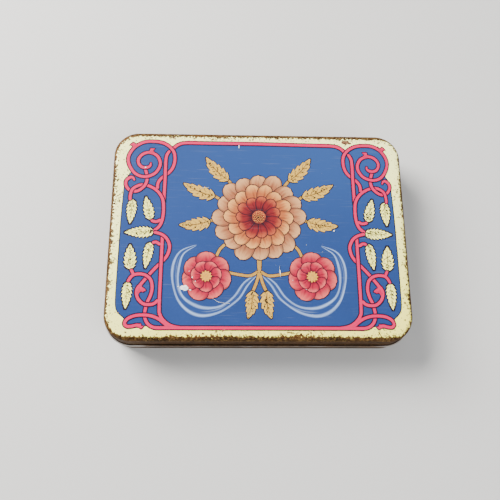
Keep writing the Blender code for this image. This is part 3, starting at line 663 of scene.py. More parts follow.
def wire_steel(name):
    """Dull drawn wire with fine rings of rust."""
    paint = new_paint(name)
    rust = paint.noise(0.0012, 4.0, 0.6, seed=17.0)
    rusted = rust.step(0.52, 0.70)
    surface = paint.mix(rusted, (0.42, 0.40, 0.37), (0.13, 0.075, 0.038))
    return paint.finish(
        surface, roughness=0.38 + rust * 0.2, metallic=0.95 - rusted * 0.6, height=rust * 0.00002,
    )


def ink_finish(paint, colour):
    """Close an ink: pale pinholes, dull rubs and the sheet's own waves under it."""
    pinholes = paint.noise(0.00075, 2.0, 0.5, seed=18.0)
    crowd = paint.noise(0.020, 2.0, 0.5, seed=19.0)
    chips = (pinholes + crowd * 0.12 - 0.06).step(0.775, 0.800)
    rubs = paint.streaks((0.016, 0.00030, 0.00030), 0.9).step(0.66, 0.78) * 0.16
    rubs_across = paint.streaks((0.011, 0.00026, 0.00026), -0.5).step(0.67, 0.80) * 0.14
    surface = paint.mix(rubs.most(rubs_across), colour, (0.30, 0.33, 0.40))
    surface = paint.mix(chips, surface, (0.50, 0.46, 0.32))
    dull = paint.noise(0.018, 3.0, 0.6, seed=20.0)
    return paint.finish(
        surface, roughness=0.19 + dull * 0.06, height=lacquer_height(paint) - chips * 0.00002,
        coat=0.22,
    )


def blue_ground(name):
    """The blue ink: lighter in slow clouds, and painted lighter towards the top, most at the top right,
    as a painted sheen of the light.
    """
    colours = scene_settings()[2]
    paint = new_paint(name)
    cloud = paint.noise(0.030, 3.0, 0.5, seed=21.0)
    grain = paint.noise(0.0006, 2.0, 0.5, seed=22.0)
    surface = paint.mix(cloud.step(0.3, 0.7), toned(colours.blue, 0.86), colours.blue)
    surface = paint.mix(grain.step(0.3, 0.8) * 0.16, surface, toned(colours.blue, 1.5))
    # Painted sheen: the blue is painted lighter towards the top of the lid, most at the top right, where
    # the light is reflected.
    painted_blue_sheen = paint.y.step(-0.020, 0.046) * (0.40 + paint.x.step(-0.045, 0.040) * 0.60)
    surface = paint.mix(painted_blue_sheen, surface, (0.0205, 0.0535, 0.172))
    return ink_finish(paint, surface)


def plain_ink(name, colour, lighter):
    """One flat ink with the lighter grain of its printing dots."""
    paint = new_paint(name)
    grain = paint.noise(0.0007, 2.0, 0.5, seed=23.0)
    return ink_finish(paint, paint.mix(grain.step(0.35, 0.8) * 0.5, colour, lighter))


def outline_ink(name, lighter):
    """The dark ink of the outlines."""
    return plain_ink(name, scene_settings()[2].ink, lighter)


def stroke_pink(name):
    """Pink strokes, a shade darker towards their sides."""
    colours = scene_settings()[2]
    paint = new_paint(name)
    _, across = paint.follow()
    grain = paint.noise(0.0009, 3.0, 0.6, seed=24.0)
    lit = paint.mix(grain.step(0.35, 0.75) * 0.30, colours.pink, (0.60, 0.035, 0.075))
    return ink_finish(paint, paint.mix(abs(across).step(0.60, 1.0) * 0.35, lit, (0.26, 0.006, 0.035)))


def veined_leaf(name, colour, vein, veins, worn_ends=0.0):
    """A leaf with a midrib and slanting veins in broken dark strokes."""
    paint = new_paint(name)
    along, across = paint.follow()
    side = abs(across)
    blots = paint.noise(0.0011, 3.0, 0.6, seed=25.0)
    midrib = 1.0 - side.step(0.03, 0.13)
    phase = (along * veins - side * 1.15).math("FRACT")
    slants = (1.0 - abs(phase - 0.5).step(0.05, 0.17)) * (1.0 - side.step(0.45, 0.80))
    lines = (midrib * 0.85).most(slants * blots.step(0.36, 0.56))
    lines = lines * (1.0 - along.step(0.86, 0.96))
    pecks = paint.noise(0.0008, 2.0, 0.5, seed=26.0) + (0.5 - along) * worn_ends
    smudges = pecks.step(0.565, 0.605) * (1.0 - side.step(0.55, 0.95))
    shade = paint.mix(blots.step(0.3, 0.6) * 0.3, colour, toned(colour, 0.86))
    drawn = paint.mix(lines, shade, vein)
    return ink_finish(paint, paint.mix(smudges, drawn, (0.014, 0.008, 0.005)))


def petal_ink(name, heart, body, tip, streak):
    """A petal brushed from a dark heart through its body colour to a pale tip."""
    paint = new_paint(name)
    along, across = paint.follow()
    side = abs(across)
    brush = paint.fibres(along * 1.4, across * 4.2, paint.x * 260.0, 4.0)
    waved = along + (brush - 0.5) * 0.5
    low = paint.mix(waved.step(0.02, 0.45), heart, body)
    surface = paint.mix(waved.step(0.55, 1.02) * 0.85, low, tip)
    crease = (1.0 - side.step(0.02, 0.16)) * (1.0 - along.step(0.5, 0.9))
    surface = paint.mix(crease * 0.65, surface, streak)
    surface = paint.mix(brush.step(0.58, 0.70) * 0.55, surface, streak)
    return ink_finish(paint, paint.mix(side.step(0.70, 1.0) * 0.45, surface, heart))


def wisp_ink(name):
    """A pale ribbon painted in streaks that fade into the blue at its sides."""
    colours = scene_settings()[2]
    paint = new_paint(name)
    along, across = paint.follow()
    side = abs(across)
    brush = paint.fibres(along * 60.0, across * 2.6, 0.0, 3.0)
    edges = 1.0 - abs(side - 0.62).step(0.05, 0.36)
    light = edges * (0.35 + brush * 0.9) + brush.step(0.52, 0.72) * 0.35
    light = light * (1.0 - side.step(0.82, 1.0))
    return ink_finish(paint, paint.mix(light.least(1.0), colours.blue, (0.22, 0.31, 0.50)))


def scuff_white(name):
    """Where a knock took the ink down to pale metal and primer."""
    paint = new_paint(name)
    cloud = paint.noise(0.0012, 3.0, 0.6, seed=27.0)
    surface = paint.mix(cloud.step(0.35, 0.65), (0.80, 0.78, 0.72), (0.52, 0.53, 0.55))
    return paint.finish(surface, roughness=0.5, metallic=0.2, height=cloud * 0.00002)


def dark_scar(name):
    """A crack or rust spot that goes through the lacquer."""
    paint = new_paint(name)
    crust = paint.noise(0.0007, 3.0, 0.6, seed=28.0)
    rust = paint.mix(crust.step(0.40, 0.62), (0.055, 0.024, 0.009), (0.200, 0.085, 0.038))
    return paint.finish(rust, roughness=0.65, height=crust * 0.00004)


def pale_floor(name):
    """The plain floor, paler where the lamps' light runs out."""
    stage = scene_settings()[4]
    paint = new_paint(name)
    cloud = paint.noise(0.004, 2.0)
    tint = paint.mix(cloud * 0.06, stage.floor_colour, toned(stage.floor_colour, 0.9))
    reach = (paint.x * paint.x + paint.y * paint.y).math("SQRT")
    tint = paint.mix(reach.step(0.5, 2.6), tint, (0.95, 0.95, 0.94))
    return paint.finish(tint, roughness=0.7)


class Solid:
    """Closed surfaces gathered into one mesh, with a map for each point and a material a face."""

    def __init__(self):
        self.points, self.maps, self.faces, self.slots = [], [], [], []
        self.count = 0

    def tube(self, rings, maps=None, slots=0):
        """Add a closed skin over a stack of rings, each joined to the next by quads.

        The first and last rings are capped. The signed volume, a sum of a . (b x c) over the
        triangles, says which way the faces point, and they are turned outwards.
        """
        stations, size = rings.shape[:2]
        index = np.arange(stations * size).reshape(stations, size)
        low, high = index[:-1], index[1:]
        quads = np.stack([low, np.roll(low, -1, 1), np.roll(high, -1, 1), high], -1).reshape(-1, 4)
        flat = rings.reshape(-1, 3)
        a, b, c, d = (flat[quads[:, corner]] for corner in range(4))
        volume = np.einsum("ij,ij->", a, np.cross(b, c) + np.cross(c, d))
        for ring, turn in ((rings[0], -1.0), (rings[-1], 1.0)):
            volume += turn * np.einsum("j,ij->", ring[0], np.cross(ring, np.roll(ring, -1, 0)))
        faces = quads.tolist() + [index[0, ::-1].tolist(), index[-1].tolist()]
        if volume < 0:
            faces = [face[::-1] for face in faces]
        if isinstance(slots, int):
            slots = [slots] * (stations + 1)
        self.slots += np.repeat(slots[1:-1], size).tolist() + [slots[0], slots[-1]]
        self.faces += [[corner + self.count for corner in face] for face in faces]
        self.points.append(flat)
        self.maps.append(np.zeros((len(flat), 2)) if maps is None else maps.reshape(-1, 2))
        self.count += len(flat)

    def mirror(self, place=lambda points: points * (-1.0, 1.0, 1.0)):
        """Add the same surfaces again on the other side of x = 0, where the rule places them.

        The copies lie a hair higher, so that they cover the first ones where the halves meet.
        """
        copy = [[corner + self.count for corner in face[::-1]] for face in self.faces]
        self.points += [place(points) + (0.0, 0.0, 0.003 * MM) for points in self.points]
        self.maps += list(self.maps)
        self.faces += copy
        self.slots += list(self.slots)
        self.count *= 2

    def piece(self, name, body, slot, materials, *nodes):
        """Make the piece, ride it on its body and let it stand for its CAD nodes."""
        mesh = bpy.data.meshes.new(name)
        mesh.from_pydata(np.vstack(self.points), [], self.faces)
        corners = np.zeros(len(mesh.loops), int)
        mesh.loops.foreach_get("vertex_index", corners)
        mesh.uv_layers.new(name="follow").data.foreach_set("uv", np.vstack(self.maps)[corners].ravel())
        mesh.polygons.foreach_set("use_smooth", np.ones(len(mesh.polygons), bool))
        mesh.polygons.foreach_set("material_index", self.slots)
        mesh.set_sharp_from_angle(angle=math.radians(32))
        for material in materials:
            mesh.materials.append(material)
        made = bpy.data.objects.new(name, mesh)
        bpy.context.scene.collection.objects.link(made)
        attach(made, body)
        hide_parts(*nodes)
        return made


def smooth_path(points, spacing):
    """Even points along a smooth curve through the given ones.

    Between two points the curve is the Catmull-Rom cubic of those two and their neighbours, and
    then it is divided evenly by its length.
    """
    knots = np.array(points, float)
    knots = np.vstack([2 * knots[0] - knots[1], knots, 2 * knots[-1] - knots[-2]])
    t = np.linspace(0.0, 1.0, 16, endpoint=False)[:, None, None]
    a, b, c, d = knots[:-3], knots[1:-2], knots[2:-1], knots[3:]
    bend = (2 * a - 5 * b + 4 * c - d) * t**2 + (3 * b - a - 3 * c + d) * t**3
    curve = (0.5 * (2 * b + (c - a) * t + bend)).transpose(1, 0, 2).reshape(-1, knots.shape[1])
    curve = np.vstack([curve, knots[-2]])
    run = np.append(0.0, np.cumsum(np.linalg.norm(np.diff(curve[:, :2], axis=0), axis=1)))
    even = np.linspace(0.0, run[-1], max(6, round(run[-1] / spacing)))
    return np.stack([np.interp(even, run, column) for column in curve.T], 1)


def run_along(path):
    """Distance from the path's start to each of its points."""
    return np.append(0.0, np.cumsum(np.linalg.norm(np.diff(path[:, :2], axis=0), axis=1)))


def ribbon(solid, path, half_width, top, across=3, tilt=0.0, shares=False):
    """Lay a flat band of ink along a path on the lid.

    A point is the path's point plus v times the half width along the path's normal, at height
    top plus tilt times v, for v from -1 to 1. Its two sides go down to the sheet and close it.
    """
    run = run_along(path)
    ahead = np.gradient(path[:, :2], axis=0)
    ahead /= np.linalg.norm(ahead, axis=1)[:, None]
    normal = np.stack([-ahead[:, 1], ahead[:, 0]], 1)
    v = np.concatenate([np.linspace(-1.0, 1.0, across), [1.0, -1.0]])
    plan = path[:, None, :2] + v[None, :, None] * half_width[:, None, None] * normal[:, None, :]
    heights = np.broadcast_to(np.reshape(top, (-1, 1)), (len(path), 1)) + tilt * v
    heights[:, across:] = shelf("foot")
    u = run / run[-1] if shares else run
    maps = np.stack(np.broadcast_arrays(u[:, None], v[None, :]), -1)
    solid.tube(np.concatenate([plan, heights[..., None]], -1), maps)


def disc(solid, edge, top, centre):
    """Lay a flat field of ink inside a closed edge.

    Rings are the edge drawn towards the centre by a share, on top and down at the sheet. The
    centre is one point, or one for each point of the edge where the field is long.
    """
    centre = np.array(centre)
    shares = np.array([0.02, 1.0, 1.0, 0.85, 0.45, 0.02])
    heights = np.array([shelf("foot")] * 2 + [top] * 4)
    plan = centre + shares[:, None, None] * (edge[None] - centre)
    rings = np.concatenate([plan, np.broadcast_to(heights[:, None, None], (*plan.shape[:2], 1))], -1)
    angle = np.linspace(0.0, 2.0, len(edge))
    maps = np.stack(np.broadcast_arrays(shares[:, None], angle[None, :]), -1)
    solid.tube(rings, maps)


def rounded_ends(path, half):
    """Half widths of a stroke whose two ends are half circles."""
    run = run_along(path)
    reach = np.minimum(run, run[-1] - run) / half
    return half * np.sqrt(np.clip(1.0 - (1.0 - np.clip(reach, 0.02, 1.0)) ** 2, 0.0, 1.0))


def tapering(path, first, last, length=0.0032):
    """Share of the full width along a path: from the first share up to one, and down to the last."""
    run = run_along(path)
    rise = first + (1.0 - first) * np.clip(run / length, 0.0, 1.0)
    fall = last + (1.0 - last) * np.clip((run[-1] - run) / length, 0.0, 1.0)
    return rise * fall


def right_half(points):
    """Mirror points of the border to the right, where it was laid out a little wider and lower.

    The shift outwards grows to its full amount at the bars and fades out towards the ground's
    edge, and the shift downwards grows with the height on the lid and the distance from its middle.
    """
    x, y = -points[:, 0], points[:, 1]
    outwards = np.clip(x / 0.038, 0.0, 1.0) * np.clip((0.0625 - x) / 0.008, 0.0, 1.0)
    lower = np.clip(x / 0.040, 0.0, 1.0) * np.clip(y / 0.040, 0.0, 1.0)
    return np.stack([x + 0.00095 * outwards, y - 0.0006 * lower, points[:, 2]], 1)


def leaf_widths(half, teeth, bite=0.32):
    """Shares along a toothed leaf and its half widths there.

    The leaf swells as a quarter circle to its widest place at a third of its length and closes
    as a cosine to its tip. Each tooth widens it evenly by the bite and then steps back.
    """
    phase = np.tile([0.0, 0.4, 0.8, 0.97], teeth)
    share = np.append((np.repeat(np.arange(teeth), 4) + phase) / teeth, 1.0)
    widest = 0.36
    swell = np.sqrt(np.clip(1.0 - (1.0 - share / widest) ** 2, 0.0, 1.0))
    close = np.cos(np.clip((share - widest) / 0.64, 0.0, 1.0) * np.pi / 2) ** 0.82
    width = np.where(share < widest, swell, close) * (1.0 - bite + bite * np.append(phase, 0.0))
    return share, half * np.maximum(width, 0.03)


def leaf(solid, base, tip, width, teeth, top, grow, curve):
    """Lay a toothed leaf from its stem end to its tip, wider all round by what it grows.

    Its middle line is straight, plus a bow to one side that is half a sine of the curve's height.
    """
    share, half = leaf_widths(width * MM / 2, teeth)
    base, tip = np.array(base) * MM, np.array(tip) * MM
    ahead = (tip - base) / np.linalg.norm(tip - base)
    side = np.array([-ahead[1], ahead[0]])
    share = np.clip(share, 0.0, 1.0)
    bow = curve * MM * np.sin(share * np.pi)
    path = base + share[:, None] * (tip - base) + bow[:, None] * side
    stretch = (share - 0.45)[:, None] * ahead * grow * 2.2
    ribbon(solid, path + stretch, half + grow, top, across=5, shares=True)


def petal_widths(half, notch):
    """Shares along a petal and its half widths there.

    The root is narrow, the body swells as a sine to its widest place, and the end closes as a
    root of one less a power, which the notch makes blunter.
    """
    root, widest = 0.35, 0.62
    share = np.linspace(0.0, 1.0, 22)
    body = root + (1.0 - root) * np.sin(np.clip(share / widest, 0.0, 1.0) * np.pi / 2) ** 1.3
    point = np.clip((share - widest) / 0.38, 0.0, 1.0)
    return share, half * np.maximum(body * np.sqrt(1.0 - point ** (2.2 - notch)), 0.02)


def leaf_pieces(names, tail, form, layer, line, slot, inks, curve=0.0):
    """Make a leaf's face, which stands for its CAD node, and the wider dark leaf under it.

    The names are those of the face, the outline and the node, each before the same tail, and the
    form is the leaf's stem end, tip, width and teeth.
    """
    face, outline = Solid(), Solid()
    leaf(outline, *form, shelf(layer + "_line"), line, curve)
    leaf(face, *form, shelf(layer), 0.0, curve)
    face.piece(names[0] + tail, "lid", slot, [inks[0]], names[2] + tail)
    outline.piece(names[1] + tail, "lid", "plum_print", [inks[1]])


def flower_ring(solid, lines, centre, ring, base, turn, notch=0.0):
    """Lay a ring of petals, and the dark lines under them, round a centre like a pinwheel.

    The ring says how many petals, the radii at which they start and end, and how wide they are.
    Each petal is a ribbon outwards at an even angle. It tilts across its width, so its one side
    passes under the next petal and its other side over the last.
    """
    ink = scene_settings()[1]
    count, start, reach, width = ring
    share, half = petal_widths(width * MM / 2, notch)
    tilt, line = ink.layer * 1.6, ink.outline * 0.6
    for number in range(count):
        angle = turn + 2 * np.pi * number / count
        wander = 1.0 + 0.045 * math.sin(2.4 * number + count)
        along = np.array([math.cos(angle), math.sin(angle)])
        aside = np.array([-along[1], along[0]])
        radius = (start + share * (reach * wander - start)) * MM
        sway = 0.035 * reach * MM * math.sin(1.7 * number) * share**2
        path = np.array(centre) * MM + radius[:, None] * along + sway[:, None] * aside
        outer = path + ((share - 0.5) * 2 * line)[:, None] * along
        ribbon(lines, outer, half + line, base, 3, tilt, True)
        ribbon(solid, path, half, base + ink.layer / 2, 5, tilt, True)


def full_turn(count):
    """Even angles round a full turn, and the directions that they point in."""
    angles = np.linspace(0.0, 2 * np.pi, count, endpoint=False)
    return angles, np.stack([np.cos(angles), np.sin(angles)], 1)


def shelf(layer, rise=0.0):
    """Height above the table of a layer of the print, raised by this many millimetres."""
    return scene_settings()[0].height + (LEVEL[layer] + rise) * MM


def plan_frame(shape, marks=()):
    """Centres and directions round the tin's plan, anticlockwise from the right side's back.

    A point of the plan at an inset is its centre plus the corner radius less the inset along its
    direction. Marks are places along X that the back gets columns at.
    """
    half_x, half_y = shape.length / 2 - shape.corner, shape.depth / 2 - shape.corner
    quarter = np.linspace(0.0, np.pi / 2, 15)
    corners = [(half_x, half_y), (-half_x, half_y), (-half_x, -half_y), (half_x, -half_y)]
    centres, angles = [], []
    for number, corner in enumerate(corners):
        centres.append(np.broadcast_to(corner, (len(quarter), 2)))
        angles.append(quarter + number * np.pi / 2)
        following = corners[(number + 1) % 4]
        if number == 0:
            places = np.array(sorted({*np.linspace(half_x, -half_x, 14)[1:-1], *marks}, reverse=True))
            share = (half_x - places) / (2 * half_x)
        else:
            share = np.linspace(0.0, 1.0, 12)[1:-1]
        line = np.array(corner) + share[:, None] * (np.array(following) - np.array(corner))
        centres.append(line)
        angles.append(np.full(len(share), (number + 1) * np.pi / 2))
    centres, angles = np.vstack(centres), np.concatenate(angles)
    return centres, np.stack([np.cos(angles), np.sin(angles)], 1)


def arc(middle, radius, start, end, steps=7):
    """Points of an arc in a section, as inset and height, from one angle to another in degrees."""
    angles = np.radians(np.linspace(start, end, steps))
    return np.stack([middle[0] + radius * np.cos(angles), middle[1] + radius * np.sin(angles)], 1)


def shell_rings(shape, rows, insets=None, marks=()):
    """Sweep a section round the plan: each row is an inset, a height and a share kept from the centre."""
    centres, ways = plan_frame(shape, marks)
    rows = np.array(rows, float)
    inset = rows[:, 0, None] + (0.0 if insets is None else insets(rows, centres, ways))
    inset = np.broadcast_to(inset, (len(rows), len(centres)))
    plan = (centres[None] + (shape.corner - inset)[..., None] * ways[None]) * rows[:, 2, None, None]
    heights = np.broadcast_to(rows[:, 1, None, None], (*plan.shape[:2], 1))
    return np.concatenate([plan, heights], -1)


def flat_rows(height):
    """Rows of a section from near the middle of the flat sheet out to where it is about to turn."""
    return [(inset, height, share) for inset, share in FLAT_ROWS]


def whole(points):
    """Rows of a section that keep the whole plan."""
    return [(inset, height, 1.0) for inset, height in points]


def tongue(solid, shape, low_x, high_x, from_lid):
    """Roll a tongue of the sheet round the hinge's axis.

    Its middle line leaves the shell level, meets the roll's circle at its top for the lid or its
    foot for the tray, and follows it for most of a turn. The sheet's half thickness is added on
    both sides, and the section is drawn along X.
    """
    axis_y, axis_z = HINGE[1], HINGE[2]
    roll = (TRAY_HIGH[1] - axis_y) - shape.sheet / 2
    sign = 1.0 if from_lid else -1.0
    angles = np.radians(np.linspace(90.0, -205.0, 40)) * sign
    around = np.stack([axis_y + roll * np.cos(angles), axis_z + roll * np.sin(angles)], 1)
    start = shape.depth / 2 - shape.sheet / 2
    level = np.stack([np.linspace(start, axis_y, 6)[:-1], np.full(5, axis_z + sign * roll)], 1)
    line = np.vstack([level, around])
    ahead = np.gradient(line, axis=0)
    ahead /= np.linalg.norm(ahead, axis=1)[:, None]
    aside = np.stack([-ahead[:, 1], ahead[:, 0]], 1) * shape.sheet / 2
    section = np.vstack([line + aside, (line - aside)[::-1]])
    places = np.array([low_x, high_x])
    rings = np.empty((2, len(section), 3))
    rings[..., 0] = places[:, None]
    rings[..., 1:] = section[None]
    solid.tube(rings)


def hinge_middles():
    """The middles of the two hinges along X, from the pins' boxes."""
    middle = (PIN_LOW[0] + PIN_HIGH[0]) / 2
    return middle, -middle


class TIN_OT_lid(bpy.types.Operator):
    """Draw the lid: flat top, rounded edge, skirt with its folded hem and two rolled tongues"""

    bl_idname = "tin.lid"
    bl_label = "Lid"

    def execute(self, context):
        shape = context.scene.tin_shape
        t, top, edge = shape.sheet, shape.height, shape.edge
        low, hem = shape.lid_bottom, shape.lid_bottom + 0.0015
        rows = flat_rows(top - t)
        rows += whole(arc((edge, top - edge), edge - t, 90, 180))
        rows += whole([(t, hem + 0.0002), (2 * t, hem - 0.0001), (2 * t, low + 0.0003)])
        rows += whole([(1.5 * t, low), (0.5 * t, low), (0.0, low + 0.0003), (0.0, hem)])
        inside = len(rows) - 3
        rows += whole(arc((edge, top - edge), edge, 180, 90, 11))
        rows += flat_rows(top)[::-1]
        slots = [1] * inside + [0] * (len(rows) + 1 - inside)
        solid = Solid()
        solid.tube(shell_rings(shape, rows), slots=slots)
        for middle in hinge_middles():
            tongue(solid, shape, middle - KNUCKLE / 2, middle + KNUCKLE / 2, True)
        materials = [cream_lacquer("cream lacquer"), bare_tinplate("bare tinplate")]
        solid.piece("lid_shell", "lid", "cream_lacquer", materials, "lid")
        return {"FINISHED"}


class TIN_OT_tray(bpy.types.Operator):
    """Draw the tray: rounded foot, straight sides, bead, neck with its curl and four tongues"""

    bl_idname = "tin.tray"
    bl_label = "Tray"

    def execute(self, context):
        shape = context.scene.tin_shape
        t, foot, neck, curl = shape.sheet, shape.foot, shape.neck_inset, shape.curl
        mouth = TRAY_HIGH[2] - curl
        soft = 0.0005    # rounding of the bead
        rows = flat_rows(0.0)
        rows += whole(arc((foot, foot), foot, 270, 180, 9))
        rows += whole([(0.0, shape.bead_bottom - 0.0004), (0.0, shape.bead_bottom)])
        bead_low = len(rows)
        reach = shape.bead_reach
        rows += whole(arc((soft - reach, shape.bead_bottom + soft), soft, 270, 180, 5))
        rows += whole(arc((soft - reach, shape.bead_top - soft), soft, 180, 90, 5))
        bead_high = len(rows)
        rows += whole([(0.0, shape.bead_top), (neck, shape.bead_top), (neck, mouth - curl * 1.4)])
        rows += whole(arc((neck + t, mouth), curl, 215, -35, 13))
        inner_start = len(rows)
        rows += whole([(neck + t, mouth - curl * 1.4), (neck + t, shape.bead_top - t)])
        rows += whole([(t, shape.bead_top - t), (t, foot)])
        rows += whole(arc((foot, foot), foot - t, 180, 270))
        rows += flat_rows(t)[::-1]
        slots = [0] * inner_start + [1] * (len(rows) + 1 - inner_start)
        slot_half = KNUCKLE / 2 + SLOT_GAP

        def bead_slots(rows, centres, ways):
            """Press the bead back where the lid's tongues pass."""
            near = np.zeros(len(centres), bool)
            for middle in hinge_middles():
                near |= np.abs(centres[:, 0] - middle) < slot_half
            near &= ways[:, 1] > 0.99
            in_bead = np.zeros(len(rows), bool)
            in_bead[bead_low:bead_high] = True
            pressed = np.maximum(0.0, -rows[:, 0]) * in_bead
            return pressed[:, None] * near[None, :]

        marks = [
            middle + side * (slot_half + step)
            for middle in hinge_middles() for side in (-1, 1) for step in (-0.00005, 0.00005)
        ]
        solid = Solid()
        solid.tube(shell_rings(shape, rows, bead_slots, marks), slots=slots)
        for middle in hinge_middles():
            for side in (-1, 1):
                near = middle + side * (KNUCKLE / 2 + KNUCKLE_GAP)
                far = near + side * OUTER_KNUCKLE
                tongue(solid, shape, min(near, far), max(near, far), False)
        materials = [tray_tinplate("browned tinplate"), bare_tinplate("tray's bare tinplate")]
        solid.piece("tray_shell", "tray", "tinplate", materials, "tray")
        return {"FINISHED"}


class TIN_OT_pins(bpy.types.Operator):
    """Draw the two hinge pins: wire with domed ends"""

    bl_idname = "tin.pins"
    bl_label = "Hinge pins"

    def execute(self, context):
        radius = (PIN_HIGH[2] - PIN_LOW[2]) / 2
        half = (PIN_HIGH[0] - PIN_LOW[0]) / 2
        bend = np.radians(np.linspace(75.0, 5.0, 6))
        dome = half - radius * 0.5 * (np.sin(bend[0]) - np.sin(bend))
        end = np.stack([dome, radius * np.cos(bend)], 1)
        profile = np.vstack([end * (-1, 1), end[::-1]])
        ways = full_turn(24)[1]
        steel = wire_steel("steel wire")
        for middle, (side, _) in zip(hinge_middles(), SIDES):
            rings = np.empty((len(profile), len(ways), 3))
            rings[..., 0] = middle + profile[:, 0, None]
            rings[..., 1:] = HINGE[1:] + profile[:, 1, None, None] * ways
            solid = Solid()
            solid.tube(rings)
            solid.piece(f"pin_{side}", "tray", "steel_wire", [steel], f"hinge_pin_{side}")
        return {"FINISHED"}


class TIN_OT_ground(bpy.types.Operator):
    """Lay the blue ground of the print with its dark outline"""

    bl_idname = "tin.ground"
    bl_label = "Blue ground"

    def execute(self, context):
        half = smooth_path(FIELD_EDGE, 0.9) * MM
        right = right_half(np.column_stack([half, np.zeros(len(half))]))[:, :2]
        edge = np.vstack([half, right[-2:0:-1]])
        line = context.scene.tin_print.outline
        spine = np.column_stack([np.clip(edge[:, 0], -SPINE_HALF, SPINE_HALF), np.zeros(len(edge))])
        away = edge - spine
        outer = edge + line * away / np.linalg.norm(away, axis=1)[:, None]
        ground = Solid()
        disc(ground, edge, shelf("ground"), spine)
        ground.piece("blue_ground", "lid", "blue_print", [blue_ground("blue ink")], "blue_field")
        rule = Solid()
        disc(rule, outer, shelf("ground_line"), spine)
        plum = outline_ink("plum ink", (0.016, 0.008, 0.018))
        rule.piece("ground_outline", "lid", "plum_print", [plum])
        return {"FINISHED"}


class TIN_OT_scroll(bpy.types.Operator):
    """Lay the scrolled border: pink strokes with dark outlines that pass over and under"""

    bl_idname = "tin.scroll"
    bl_label = "Scrolled border"

    def execute(self, context):
        ink = context.scene.tin_print
        half = ink.stroke / 2
        core = slice(1, -1)
        pink, dark = Solid(), Solid()
        for number, (name, points) in enumerate(BORDER_STROKES.items()):
            path = smooth_path(points, 0.34)
            top = shelf("border", PASSING_RISE * path[:, 2] + STROKE_RISE * number)
            plan = path[:, :2] * MM
            width = half * tapering(plan, *BORDER_TAPERS.get(name, (1.0, 1.0)))
            ribbon(dark, plan, rounded_ends(plan, width), top)
            inner = rounded_ends(plan[core], width[core] - ink.outline)
            ribbon(pink, plan[core], inner, top[core] + ink.layer)
        thorns = [(np.array(LOOP_THORN), np.array(LOOP_THORN_MIDDLE))]
        for root, way, size, hand in BORDER_THORNS:
            ahead = np.array(way) / np.hypot(*way)
            aside = np.array([ahead[1], -ahead[0]]) * hand
            edge = np.array(root) + size * np.array(THORN_EDGE) @ np.stack([aside, ahead])
            thorns.append((edge, np.array(root) + 1.4 * size * ahead))
        top = shelf("thorn")
        for edge, middle in thorns:
            edge = smooth_path(np.vstack([edge, edge[:1]]), 0.14)[:-1] * MM
            middle = middle * MM
            reach = np.linalg.norm(edge - middle, axis=1)[:, None]
            wider = middle + (edge - middle) * (1.0 + ink.outline / reach)
            disc(dark, wider, top, middle)
            disc(pink, edge, top + ink.layer, middle)
        pink.mirror(right_half)
        dark.mirror(right_half)
        pink.piece("scroll_strokes", "lid", "pink_print", [stroke_pink("pink ink")], "border_scroll")
        outline = outline_ink("plum outline", (0.018, 0.007, 0.018))
        dark.piece("scroll_outlines", "lid", "plum_print", [outline])
        return {"FINISHED"}


class TIN_OT_leaves(bpy.types.Operator):
    """Lay the twelve cream leaves of the border, toothed, veined and outlined"""

    bl_idname = "tin.leaves"
    bl_label = "Border leaves"

    def execute(self, context):
        leaf_colour, line = context.scene.tin_colours.leaf, context.scene.tin_print.outline * 1.25
        names = ("leaf_", "leaf_line_", "border_leaf_")
        inks = (
            veined_leaf("cream leaf ink", leaf_colour, (0.055, 0.035, 0.014), 6.5, 0.11),
            outline_ink("leaf outline", (0.016, 0.009, 0.016)),
        )
        for number, (base, tip, width, teeth) in enumerate(BORDER_LEAVES, start=1):
            ends = np.array((base, tip))
            mirrored = right_half(np.column_stack([ends * MM, (0.0, 0.0)]))[:, :2] / MM
            for (side, _), pair in zip(SIDES, (ends, mirrored)):
                form = (*pair, width, teeth)
                leaf_pieces(names, f"{side}_{number}", form, "leaf", line, "leaf_print", inks)
        return {"FINISHED"}


class TIN_OT_dahlia(bpy.types.Operator):
    """Lay the big tan flower: three rings of overlapping petals round a dark heart"""

    bl_idname = "tin.dahlia"
    bl_label = "Big flower"

    def execute(self, context):
        middle = np.array(DAHLIA_CENTRE) * MM
        lines, gold = Solid(), Solid()
        for number, (name, slot, node, ring, ink, colours) in enumerate(DAHLIA_RINGS):
            petals = Solid()
            top = shelf("dahlia", RING_RISE * number)
            flower_ring(petals, lines, DAHLIA_CENTRE, ring, top, math.pi / 2 + number * 0.21)
            if name == "dahlia_middle":
                edge = middle + full_turn(48)[1] * DAHLIA_HEART * MM
                disc(petals, edge, shelf("heart"), middle)
            petals.piece(name, "lid", slot, [petal_ink(ink, *colours)], node)
        dark = outline_ink("petal outline", (0.030, 0.012, 0.014))
        lines.piece("dahlia_lines", "lid", "plum_print", [dark])
        dot = full_turn(8)[1] * STAMENS["size"] * MM
        for number in range(STAMENS["count"]):
            angle = number * STAMENS["turn"]
            radius = STAMENS["within"] * math.sqrt((number + 0.5) / STAMENS["count"])
            spot = middle + radius * MM * np.array([math.cos(angle), math.sin(angle)])
            disc(gold, spot + dot, shelf("stamens"), spot)
        dots = plain_ink("gold dots", (0.50, 0.23, 0.03), (0.72, 0.45, 0.12))
        gold.piece("dahlia_stamens", "lid", "gold_print", [dots])
        return {"FINISHED"}


